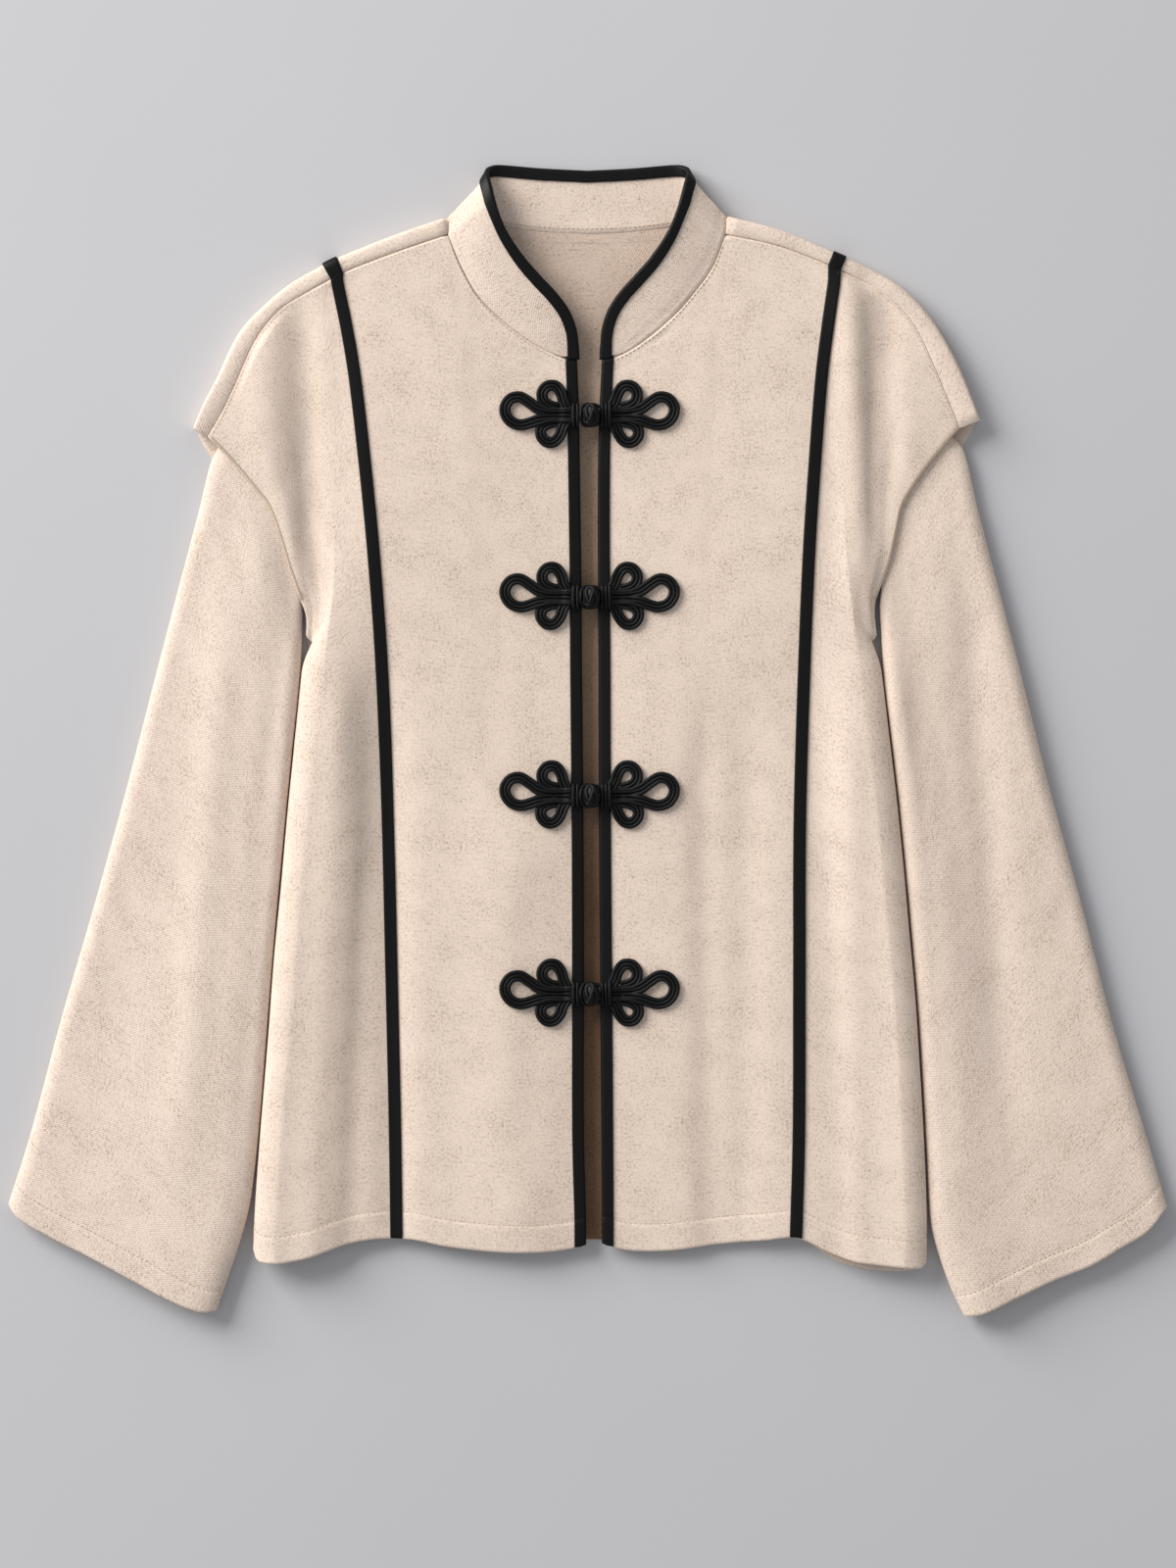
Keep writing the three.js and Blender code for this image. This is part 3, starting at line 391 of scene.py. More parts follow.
def through(knots, values, t):
    """Cubic Hermite through values (..., knots) at t, each slope taken from the two neighbouring knots."""
    knots = np.asarray(knots, float)
    values = np.asarray(values, float)
    t = np.clip(np.asarray(t, float), knots[0], knots[-1])
    values = np.broadcast_to(values, t.shape + (len(knots),))
    slopes = np.empty_like(values)
    slopes[..., 1:-1] = (values[..., 2:] - values[..., :-2]) / (knots[2:] - knots[:-2])
    slopes[..., 0] = (values[..., 1] - values[..., 0]) / (knots[1] - knots[0])
    slopes[..., -1] = (values[..., -1] - values[..., -2]) / (knots[-1] - knots[-2])
    i = np.clip(np.searchsorted(knots, t, side="right") - 1, 0, len(knots) - 2)
    h = knots[i + 1] - knots[i]
    s = (t - knots[i]) / h

    def take(array, k):
        return np.take_along_axis(array, k[..., None], -1)[..., 0]

    s2, s3 = s * s, s * s * s
    return (take(values, i) * (2 * s3 - 3 * s2 + 1) + take(slopes, i) * h * (s3 - 2 * s2 + s)
            + take(values, i + 1) * (3 * s2 - 2 * s3) + take(slopes, i + 1) * h * (s3 - s2))


def read(table, t, column=1):
    """One column of a table at t, interpolated along its first column."""
    rows = np.asarray(table, float)
    return through(rows[:, 0], rows[:, column], t)


def unit(v):
    """Vectors divided by their lengths."""
    return v / np.maximum(np.linalg.norm(v, axis=-1, keepdims=True), 1e-9)


def stack(x, y, z):
    return np.stack(np.broadcast_arrays(x, y, z), -1).astype(float)


def run_of(path):
    """Distance run along a path at each of its points."""
    return np.concatenate([[0], np.linalg.norm(np.diff(path, axis=0), axis=-1).cumsum()])


# The fronts

def panel_edge(side, y):
    """The cloth's own front edge: inside the binding's edge."""
    return read(side["front_edge"], y) + BINDING_EDGE


def crest_line(side, y):
    """The crest of the side roll: the outline less the roll's width."""
    return read(side["side_edge"], y) - SIDE_ROLL


def creases(x, y):
    """Sum of rounded troughs: each is a bell across its line that fades out smoothly past its ends."""
    drop = np.zeros(np.broadcast(x, y).shape)
    for x1, y1, x2, y2, depth, half in CREASES:
        length = math.hypot(x2 - x1, y2 - y1)
        ux, uy = (x2 - x1) / length, (y2 - y1) / length
        along = (x - x1) * ux + (y - y1) * uy
        across = (x - x1) * uy - (y - y1) * ux + 0.02 * half * np.sin(along / 17)
        fade = smooth(along / (0.35 * length) + 0.6) * smooth((length - along) / (0.35 * length) + 0.6)
        drop = drop + depth * fade * np.exp(-(across / half) ** 2)
    return drop


def unevenness(x, y):
    """Slow waves of the lying cloth: six sines of different length and direction, under half a millimetre."""
    waves = [(0.031, 0.012, 0.3, 0.16), (-0.022, 0.027, 1.9, 0.15), (0.058, -0.021, 4.1, 0.09),
             (0.017, 0.064, 2.2, 0.08), (0.094, 0.041, 0.9, 0.045), (-0.071, 0.088, 5.2, 0.045)]
    return sum(height * np.sin(a * x + b * y + phase) for a, b, phase, height in waves)


def soft_trough(side, x, y):
    """Depth of the soft troughs: bells across straight lines, faded smoothly at both ends."""
    drop = np.zeros(np.broadcast(x, y).shape)
    for sign, x_low, x_high, low, high, depth, half in SOFT_TROUGHS:
        if sign == side["sign"]:
            centre = mix(x_low, x_high, (y - low) / (high - low))
            along = smooth((y - low) / 60) * smooth((high - y) / 80)
            drop = drop + depth * along * np.exp(-((x - centre) / half) ** 2)
    return drop


def front_height(side, x, y):
    """Height of a front's outer face: the height table along the row, less the soft troughs."""
    inner = panel_edge(side, y)
    share = np.maximum(0, (x - inner) / (crest_line(side, y) - inner))
    profile = np.stack([read(FRONT_HEIGHTS, y, k + 1) for k in range(len(HEIGHT_SHARES))], -1)
    return through(HEIGHT_SHARES, profile, share) - soft_trough(side, x, y)


def neck_share(side):
    """Share of the way from the front edge to the ribbon at which the neck point lies."""
    shoulder_x, shoulder_y = side["neck"][-1]
    inner = panel_edge(side, shoulder_y)
    return (shoulder_x - inner) / (read(side["strip"], shoulder_y) - STRIP_WIDTH / 2 - inner)


def front_x(side, a, y):
    """Distance of column a from the centre line, in straight shares between edge, neck, ribbon and crest."""
    inner = panel_edge(side, y)
    ribbon = read(side["strip"], y)
    ribbon_in, ribbon_out = ribbon - STRIP_WIDTH / 2, ribbon + STRIP_WIDTH / 2
    share = np.interp(a, [0, NECK_COLUMN, RIBBON_IN], [0, neck_share(side), 1])
    across = (a - RIBBON_IN) / (RIBBON_OUT - RIBBON_IN)
    outside = np.interp(a, np.arange(RIBBON_OUT, CREST_COLUMN + 1), [0, 0.3, 0.6, 0.8, 1])
    return np.where(a <= RIBBON_IN, mix(inner, ribbon_in, share),
                    np.where(a <= RIBBON_OUT, mix(ribbon_in, ribbon_out, across),
                             mix(ribbon_out, crest_line(side, y), outside)))


def top_of(side, x):
    """Highest y of a front at a distance from the centre line: the neck curve, then the shoulder seam."""
    return np.where(x < side["seam"][0][0], read(side["neck"], x), read(side["seam"], x))


def front_ends(side, a):
    """Lowest and highest y of column a, where it meets the hem and the neck or shoulder seam."""
    low = np.full(a.shape, -320.0)
    high = np.full(a.shape, 300.0)
    for _ in range(14):
        low = read(side["hem"], front_x(side, a, low))
        high = mix(high, top_of(side, front_x(side, a, high)), 0.7)
    near = np.clip(1 - np.abs(a - NECK_COLUMN) / 0.02, 0, 1)
    return low, mix(high, side["seam"][0][1], near)


def front_surface(side, a, v):
    """Outer face of a front at column a (0 to 19) and share v of its column, from hem to shoulder.

    Up to the crest column the point lies on its column at the height table's height. Beyond it the point
    goes out to the cap's edge in upper rows and round half an ellipse down to the back in lower rows, with a
    smooth blend between.
    """
    a, v = np.broadcast_arrays(np.asarray(a, float), np.asarray(v, float))
    main = np.minimum(a, float(CREST_COLUMN))
    low, high = front_ends(side, main)
    y = mix(low, high, v)
    x = front_x(side, main, y)
    z = front_height(side, x, y)
    crest = np.array([float(CREST_COLUMN)])
    crest_low, crest_high = [end[0] for end in front_ends(side, crest)]
    f = np.clip((a - CREST_COLUMN) / (EDGE_COLUMN - CREST_COLUMN), 0, 1)
    cap_y_top, cap_x_top = side["cap_edge"][-1]
    rolled = 1 - smooth((y - ROLL_OPENS_Y) / ROLL_OPENING)
    climb = (y - UNDERARM_Y) / (crest_high - UNDERARM_Y)
    cap_y = np.where(y < UNDERARM_Y, y, mix(UNDERARM_Y, cap_y_top, climb))
    cap_x = np.where(cap_y < UNDERARM_Y, read(side["side_edge"], cap_y), read(side["cap_edge"], cap_y))
    bend = smooth((y - CAP_BEND_Y) / (crest_high - CAP_BEND_Y)) ** 2
    crest_x_top = front_x(side, crest, np.array([crest_high]))[0]
    seam_x = mix(crest_x_top, cap_x_top, f)
    open_x = mix(x, cap_x, f)
    open_y = mix(y, cap_y, f) + bend * (top_of(side, seam_x) - mix(crest_high, cap_y_top, f))
    knots = [0, 0.4, 0.75, 1]
    rises = np.stack([z + soft_trough(side, x, y)] + [read(CAP_HEIGHTS, cap_y, k) for k in (1, 2, 3)], -1)
    open_z = through(knots, rises, f) - soft_trough(side, open_x, open_y) * (1 - smooth((f - 0.45) / 0.4))
    turn = math.pi * f
    roll_x = read(side["side_edge"], y) - SIDE_ROLL * (1 - np.sin(turn))
    edge_x = np.where(f > 0.5, read(side["side_edge"], y), roll_x)
    hem_shift = (read(side["hem"], edge_x) - crest_low) * smooth(1 - v * 6)
    roll = stack(roll_x, y + hem_shift, z - (z - ROLL_FOOT) / 2 * (1 - np.cos(turn)))
    outer = stack(open_x, open_y, open_z)
    outer = outer + (roll - outer) * rolled[..., None]
    points = np.where((a > CREST_COLUMN)[..., None], outer, stack(x, y, z))
    return points * np.array([side["sign"], 1, 1])


def finely(low, high, extra):
    """Values from low to high with more of them in the named stretches: columns start, end, how many."""
    parts = [np.linspace(start, end, count, endpoint=False) for start, end, count in extra]
    return np.unique(np.round(np.concatenate([[low, high]] + parts), 5))


def doubled_hem(above, depth, rise, groove):
    """Relief of a turned hem: raised from its edge up to the stitch line, with a groove along that line."""
    return rise * (1 - smooth((above - depth + 2) / 2.5)) - groove * np.exp(-((above - depth) / 1.1) ** 2)


def edge_ripple(x, above, height, pitch, sway, slow, fade):
    """Waves of a free edge that fade upwards: a sine across, with its phase swayed by a slower sine."""
    return height * np.sin(x / pitch + sway * np.sin(x / slow)) * np.exp(-above / fade)


def front_detail(side, points, a, v, dip=SEAM_DIP):
    """Height added to a front: creases, slow waves, the doubled hem with its groove, and the seam's dip."""
    low, high = front_ends(side, np.minimum(a, float(CREST_COLUMN)))
    above = (high - low) * v
    below = (high - low) * (1 - v)
    open_part = 1 - smooth((a - 12.5) / 2)
    x, y = points[..., 0], points[..., 1]
    pucker = np.sin(x / 1.9) * np.sin(x / 5.3 + 1)
    hem = doubled_hem(above, HEM_DEPTH, 0.4, 0.35 + 0.12 * pucker)
    ripple = edge_ripple(x, above, 0.28, 8.7, 0.8, 31, 22)
    seam = 0.16 * np.exp(-((below - 2.4) / 1.3) ** 2) - dip * np.exp(-(below / 0.8) ** 2)
    cap = np.where(y > 90, 1.0, 0.0) * smooth((a - 17.5) / 1.2)
    soft = (unevenness(x, y) - creases(x, y)) * smooth(below / 8) * (1 - smooth((a - 17.6) / 1.4))
    return (hem + ripple) * (0.35 + 0.65 * open_part) + seam * open_part + 0.25 * cap + soft


# Closed shells

def normals_of(grid, loop=False, flip=False):
    """Unit normals of a grid: the cross product of its steps across and along."""
    along = np.gradient(grid, axis=0)
    if loop:
        across = (np.roll(grid, -1, 1) - np.roll(grid, 1, 1)) / 2
    else:
        across = np.gradient(grid, axis=1)
    return unit(np.cross(across, along)) * (-1 if flip else 1)


def arc_lengths(grid):
    """Grain coordinates: mean distance run along rows and along columns, in millimetres."""
    u = np.linalg.norm(np.diff(grid, axis=1), axis=-1).cumsum(1)
    v = np.linalg.norm(np.diff(grid, axis=0), axis=-1).cumsum(0)
    u = np.concatenate([np.zeros((len(grid), 1)), u], 1)
    v = np.concatenate([np.zeros((1, grid.shape[1])), v], 0)
    return np.stack([u, v], -1)


def rim(grid, inner, order, outward, thickness):
    """Rounded border: points half way through the wall, pushed out past the edge by 0.4 of the thickness."""
    middle = (grid[order] + inner[order]) / 2
    return middle + unit(outward) * thickness * 0.4


def shell(grid, thickness, loop=False, flip=False):
    """Closed wall of a grid of outer points: the inner face is the outer one moved in along its normals."""
    rows, cols = grid.shape[:2]
    inner = grid - normals_of(grid, loop, flip) * thickness
    count = rows * cols
    ids = np.arange(count).reshape(rows, cols)
    nxt = np.roll(ids, -1, 1) if loop else ids[:, 1:]
    cur = ids if loop else ids[:, :-1]
    face = np.stack([cur[:-1], nxt[:-1], nxt[1:], cur[1:]], -1).reshape(-1, 4)
    faces = [face, face[:, ::-1] + count]
    grain = arc_lengths(grid).reshape(-1, 2)
    verts = [grid.reshape(-1, 3), inner.reshape(-1, 3)]
    coords = [grain, grain]
    outside = np.zeros_like(grid)
    outside[0] += unit(grid[0] - grid[1])
    outside[-1] += unit(grid[-1] - grid[-2])
    if loop:
        rings = [ids[0], ids[-1][::-1]]
    else:
        outside[:, 0] += unit(grid[:, 0] - grid[:, 1])
        outside[:, -1] += unit(grid[:, -1] - grid[:, -2])
        rings = [np.concatenate([ids[0], ids[1:, -1], ids[-1, -2::-1], ids[-2:0:-1, 0]])]
    start = 2 * count
    for ring in rings:
        order = np.unravel_index(ring, (rows, cols))
        verts.append(rim(grid, inner, order, outside[order], thickness))
        coords.append(grain[ring])
        mid = start + np.arange(len(ring))
        after, mid_after = np.roll(ring, -1), np.roll(mid, -1)
        faces.append(np.stack([ring, mid, mid_after, after], -1))
        faces.append(np.stack([mid, ring + count, after + count, mid_after], -1))
        start += len(ring)
    faces = np.concatenate(faces)
    if flip:
        faces = faces[:, ::-1]
    return np.concatenate(verts), faces, np.concatenate(coords)


def around(a, b):
    """Faces between closed rings of point numbers a and b, each point with its next neighbour."""
    return np.stack([a, np.roll(a, -1, -1), np.roll(b, -1, -1), b], -1).reshape(-1, 4)


def cones(ids, first, last):
    """Triangles from the first ring to the point first and from the last ring to the point last."""
    low, high = ids[0], ids[-1]
    after_low, after_high = np.roll(low, -1), np.roll(high, -1)
    return [np.stack([np.full(len(low), first), after_low, low, low], -1),
            np.stack([np.full(len(high), last), high, after_high, after_high], -1)]


def sweep(centres, across, upright, section, ring=False):
    """Closed bar: the section's (s, t) points at each station are centre + s across + t upright."""
    section = np.asarray(section, float)
    sideways = across[:, None] * section[None, :, :1]
    points = centres[:, None] + sideways + upright[:, None] * section[None, :, 1:2]
    n, m = points.shape[:2]
    ids = np.arange(n * m).reshape(n, m)
    faces = around(ids, np.roll(ids, -1, 0)) if ring else around(ids[:-1], ids[1:])
    coords = stack(run_of(section)[None, :], run_of(centres)[:, None], 0)[..., :2].reshape(-1, 2)
    verts = points.reshape(-1, 3)
    if ring:
        return verts, faces, coords
    tips = np.stack([points[0].mean(0), points[-1].mean(0)])
    lead = unit(np.stack([centres[0] - centres[1], centres[-1] - centres[-2]]))
    tips = tips + lead * min(0.6, np.abs(section[:, 1]).max() * 0.5)
    faces = np.concatenate([faces] + cones(ids, n * m, n * m + 1))
    return np.concatenate([verts, tips]), faces, np.concatenate([coords, coords[[0, -1]]])


def tube(path, radius, sides=8, reference=(0, 0, 1), ring=False):
    """Round cord along a path: a circle square to the path's direction at each station."""
    path = np.asarray(path, float)
    if ring:
        along = unit(np.roll(path, -1, 0) - np.roll(path, 1, 0))
    else:
        along = unit(np.gradient(path, axis=0))
    reference = np.broadcast_to(np.asarray(reference, float), path.shape)
    across = unit(np.cross(reference, along))
    upright = np.cross(along, across)
    turn = np.linspace(0, 2 * math.pi, sides, endpoint=False)
    circle = np.stack([np.cos(turn), np.sin(turn)], -1) * radius
    return sweep(path, across, upright, circle, ring)


def join(parts):
    """Several meshes as one, with the faces of each counted on from the last."""
    verts, faces, coords = [], [], []
    start = 0
    for v, f, c in parts:
        verts.append(v)
        faces.append(f + start)
        coords.append(c)
        start += len(v)
    return np.concatenate(verts), np.concatenate(faces), np.concatenate(coords)


def piece(name, made, material, replaces=()):
    """Blender object of vertices in millimetres, faces of four corners and grain coordinates.

    A face with its last corner repeated is a triangle.
    """
    verts, faces, coords = made
    metres = (verts + np.array([0, CENTRE_SHIFT, 0])) * MM
    lists = [list(f[:3]) if f[2] == f[3] else list(f) for f in faces.tolist()]
    mesh = bpy.data.meshes.new(name)
    mesh.from_pydata(metres.tolist(), [], lists)
    mesh.update()
    corner = np.empty(len(mesh.loops), dtype=np.int32)
    mesh.loops.foreach_get("vertex_index", corner)
    layer = mesh.uv_layers.new(name="grain")
    layer.data.foreach_set("uv", (coords[corner] * MM).ravel().astype(np.float32))
    mesh.polygons.foreach_set("use_smooth", np.ones(len(mesh.polygons), dtype=bool))
    mesh.materials.append(material)
    obj = bpy.data.objects.new(name, mesh)
    bpy.context.scene.collection.objects.link(obj)
    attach(obj, "root")
    if replaces:
        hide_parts(*replaces)
    return obj


# Stitches

def at_run(run, source, distance):
    """Values of source at a distance along a path, in straight lines between its points."""
    return np.stack([np.interp(distance, run, source[:, k]) for k in range(3)], -1)


def stitches(path, length, spacing, radius, up, lift):
    """Thread dashes along a path, each as long as length, one every spacing."""
    run = run_of(path)
    starts = np.arange(0, run[-1] - length, spacing)
    face = at_run(run, np.broadcast_to(up, path.shape), starts + length / 2)
    return dashes(at_run(run, path, starts), at_run(run, path, starts + length), face, radius, lift)


def dashes(a, b, face, radius, lift):
    """Short threads from points a to b: each is a six-sided spindle, thick in the middle, on the cloth."""
    length = float(np.linalg.norm(b - a, axis=-1).mean())
    face = unit(face)
    along = unit(b - a)
    across = unit(np.cross(face, along))
    t = np.array([0, 0.15, 0.5, 0.85, 1])
    thick = np.array([0.25, 0.9, 1, 0.9, 0.25]) * radius
    sink = np.array([-0.2, 0.1, 0.3, 0.1, -0.2]) * radius
    turn = np.linspace(0, 2 * math.pi, 6, endpoint=False)
    raised = face[:, None] * (sink + lift)[None, :, None]
    centre = a[:, None] + (b - a)[:, None] * t[None, :, None] + raised
    ring = (across[:, None, None] * np.cos(turn)[None, None, :, None]
            + face[:, None, None] * np.sin(turn)[None, None, :, None]) * thick[None, :, None, None]
    points = centre[:, :, None] + ring
    n = len(points)
    ids = np.arange(n * 30).reshape(n, 5, 6)
    side = around(ids[:, :-1], ids[:, 1:])
    first, last = ids[:, 0], ids[:, -1]
    caps = [np.stack([first[:, 3], first[:, 2], first[:, 1], first[:, 0]], -1),
            np.stack([first[:, 5], first[:, 4], first[:, 3], first[:, 0]], -1),
            np.stack([last[:, 0], last[:, 1], last[:, 2], last[:, 3]], -1),
            np.stack([last[:, 0], last[:, 3], last[:, 4], last[:, 5]], -1)]
    faces = np.concatenate([side] + caps)
    coords = np.zeros((n * 30, 2))
    coords[:, 1] = np.tile(np.repeat(np.arange(5) * length / 4, 6), n)
    return points.reshape(-1, 3), faces, coords


# Grids of the pieces

def front_grid(side):
    """The front's surface on a fine grid of columns and rows, moved out along its normals by the detail."""
    a = finely(0, EDGE_COLUMN, [(0, RIBBON_IN, 52), (RIBBON_IN, RIBBON_OUT, 6),
                                (RIBBON_OUT, CREST_COLUMN, 34), (CREST_COLUMN, EDGE_COLUMN, 44)])
    v = finely(0, 1, [(0, 0.045, 22), (0.045, 0.6, 70), (0.6, 0.98, 74), (0.98, 0.995, 6),
                      (0.995, 1, 9)])
    a, v = np.meshgrid(a, v)
    points = front_surface(side, a, v)
    normal = normals_of(points, flip=side["sign"] < 0)
    return points + normal * front_detail(side, points, a, v)[..., None]


def shoulder_profile(side, k, count, dip=SEAM_DIP):
    """Outer points from the flat back round the shoulder fold to the seam, at front columns k.

    The fold's section is a half superellipse: sine and cosine raised to a power under one. Its end dips to
    the seam.
    """
    seam = front_surface(side, k, 1.0)
    before = front_surface(side, np.maximum(NECK_COLUMN, k - 0.5), 1.0)
    after = front_surface(side, np.minimum(EDGE_COLUMN, k + 0.5), 1.0)
    along = unit((after - before) * np.array([1, 1, 0]))
    normal = np.stack([-along[:, 1], along[:, 0], np.zeros(len(k))], -1) * side["sign"]
    reach = read(side["shoulder_reach"], np.abs(seam[:, 0]))
    roll = mix(SHOULDER_ROLL, CAP_CORNER_ROLL, smooth((k - 16) / 3))
    base = seam + normal * (reach - roll)[:, None]
    rise = (seam[:, 2] + 0.3) / 2
    turn = np.linspace(0, math.pi, count - 2)
    out = roll[:, None] * np.abs(np.sin(turn)) ** FOLD_SQUARENESS
    climb = 1 - np.sign(np.cos(turn)) * np.abs(np.cos(turn)) ** FOLD_SQUARENESS
    arc = base[:, None] + normal[:, None] * out[..., None]
    arc[..., 2] = rise[:, None] * climb
    lip = seam + normal * (GAP + 1)
    lip[:, 2] = seam[:, 2] + 0.2
    end = seam + normal * GAP
    end[:, 2] = seam[:, 2] - dip
    return np.concatenate([arc, lip[:, None], end[:, None]], 1)


def neck_profile(side, c, count):
    """Outer points of the back near the neck at table places c: a partial turn round the same fold."""
    places = np.arange(len(BACK_NECK))
    table = np.array(BACK_NECK, float)
    x, y, degrees = [through(places, table[:, k], c) for k in range(3)]
    j = np.linspace(0, 1, count)[None]
    turn = np.radians(degrees)[:, None] * j
    share = (degrees / 180)[:, None]
    return stack(side["sign"] * (x[:, None] + NECK_FOLD_LEAN * (1 - np.cos(turn)) * share),
                 y[:, None] - NECK_FOLD_RUN * (1 - j) * (1 - share) + SHOULDER_ROLL * np.sin(turn),
                 NECK_FOLD_RISE * (1 - np.cos(turn)))


def back_profiles(side):
    """Profiles of the back's top from the centre line to the cap's corner."""
    neck = neck_profile(side, np.linspace(0, len(BACK_NECK) - 1, 34), FOLD_POINTS)
    columns = [np.linspace(NECK_COLUMN, CREST_COLUMN, 44), np.linspace(CREST_COLUMN, EDGE_COLUMN, 32)[1:]]
    shoulder = shoulder_profile(side, np.concatenate(columns), FOLD_POINTS)
    join_steps = np.linspace(0, 1, 9)[1:-1, None, None]
    between = neck[-1][None] + (shoulder[0] - neck[-1])[None] * join_steps
    return np.concatenate([neck, between, shoulder])


def back_half(side):
    """Half the back: flat rows that run straight from the hem to the fold, then the fold's profiles."""
    profiles = back_profiles(side)
    top = profiles[:, 0]
    width = abs(top[-1, 0])
    u = (np.abs(top[:, 0]) / width)[:, None]
    hem_width = side["back_hem"][-1][0]
    v = finely(0, 0.995, [(0, 0.05, 12), (0.05, 0.995, 60)])[None]
    hem_y = read(side["back_hem"], u * hem_width)
    side_y = mix(read(side["back_hem"], hem_width), top[-1, 1], v)
    hem_end = read(side["back_cap"], side["back_hem"][-1][1])
    shift = read(side["back_cap"], side_y) - mix(hem_end, width, v)
    x = mix(u * hem_width, np.abs(top[:, :1]), v) + u * shift
    flat = stack(side["sign"] * x, mix(hem_y, top[:, 1:2], v), 0)
    return np.concatenate([flat, profiles], 1)


def back_grid():
    """Both halves of the back side by side, with one shared column on the centre line."""
    left = back_half(LEFT)[::-1]
    right = back_half(RIGHT)[1:]
    return np.concatenate([left, right]).transpose(1, 0, 2)


def sleeve_point(side, distance, inset_mm, share):
    """Plan point of a sleeve, between armhole and cuff curves: inset from either edge, or at a share."""
    t = distance / SLEEVE_RUN
    armhole, cuff = np.array(side["armhole"], float), np.array(side["cuff"], float)
    inner_y = mix(armhole[0, 2], cuff[0, 2], t)
    outer_y = mix(armhole[-1, 2], cuff[-1, 2], t)
    inner = stack(read(side["sleeve_inner"], inner_y), inner_y, 0)
    outer = stack(read(side["sleeve_outer"], outer_y), outer_y, 0)
    width = np.linalg.norm(outer - inner, axis=-1)
    span = mix(SLEEVE_ROLL_INNER, width - SLEEVE_ROLL_OUTER, share)
    u = np.where(share <= 0, inset_mm, np.where(share >= 1, width - inset_mm, span)) / width
    start = stack(read(armhole, u, 1), read(armhole, u, 2), 0)
    end = stack(read(cuff, u, 1), read(cuff, u, 2), 0)
    start_chord = stack(mix(armhole[0, 1], armhole[-1, 1], u), mix(armhole[0, 2], armhole[-1, 2], u), 0)
    end_chord = stack(mix(cuff[0, 1], cuff[-1, 1], u), mix(cuff[0, 2], cuff[-1, 2], u), 0)
    plan = inner + (outer - inner) * u[..., None]
    plan = plan + (start - start_chord) * ((1 - t) ** 2)[..., None]
    return plan + (end - end_chord) * (t ** 4)[..., None]


def sleeve_grid(side):
    """A flattened tube: round from the inner edge over the top to the outer edge and back below."""
    distance = finely(0, SLEEVE_RUN, [(0, 60, 26), (60, 455, 100), (455, SLEEVE_RUN, 18)])
    angle = np.linspace(0, 90, 12)
    stops = [(SLEEVE_ROLL_INNER, g, 0.0) for g in angle]
    stops += [(0, 90, f) for f in np.linspace(0, 1, 34)[1:-1]]
    stops += [(SLEEVE_ROLL_OUTER, g, 1.0) for g in angle[::-1]]
    roll, degrees, share = np.array(stops).T
    turn = np.radians(degrees)
    inset = roll * (1 - np.cos(turn))
    d = distance[:, None]
    t = d / SLEEVE_RUN
    plan = sleeve_point(side, np.broadcast_to(d, (len(distance), len(stops))), inset[None], share[None])
    foot = SLEEVE_LIFT * (1 - smooth((d - 20) / 13))
    full = smooth(d / 90)
    inner_crest = mix(ARMHOLE_HEIGHT, SLEEVE_HEIGHT - 1.2 * smooth((t - 0.8) / 0.2), full)
    outer_crest = mix(ARMHOLE_HEIGHT, side["sleeve_outer_height"], full)
    sag = 0.35 * full * np.sin(math.pi * share)[None]
    fall = share / side["sleeve_fall"]
    fall = mix(np.clip(fall, 0, 1), smooth(fall), 0.4)[None]
    high = mix(inner_crest, outer_crest, fall) - sag
    waist = (foot + high) / 2
    top = plan.copy()
    top[..., 2] = mix(waist, high, np.sin(turn)[None])
    x, y = top[..., 0] * side["sign"], top[..., 1]
    flat = np.sin(turn)[None] ** 2
    above = SLEEVE_RUN - d
    hem = doubled_hem(above, CUFF_DEPTH, 0.35, 0.32 + 0.1 * np.sin(x / 2.1))
    ripple = edge_ripple(x, above, 0.22, 7.3, 0.9, 23, 18)
    top[..., 2] += (unevenness(x, y) * 1.4 - creases(x, y)) * smooth(d / 40) * flat + hem + ripple
    low = plan[:, -2:0:-1].copy()
    low[..., 2] = mix(waist, foot, np.sin(turn)[None])[:, -2:0:-1]
    return np.concatenate([top, low], 1) * np.array([side["sign"], 1, 1])


def neck_seam(side, place):
    """Point on the neck seam: places 0 to 5 on the front, 5 to 10 on the back."""
    on_front = front_surface(side, np.clip(place, 0, NECK_COLUMN), 1.0)
    c = 10 - place
    ends = neck_profile(side, np.clip(c, 0, 4), 2)[:, 1]
    shoulder = shoulder_profile(side, np.array([float(NECK_COLUMN)]), 8)[0, -1]
    last = neck_profile(side, np.array([4.0]), 2)[0, 1]
    between = last + (shoulder - last) * np.clip(c - 4, 0, 1)[:, None]
    on_back = np.where((c > 4)[:, None], between, ends)
    return np.where((place <= NECK_COLUMN)[:, None], on_front, on_back)


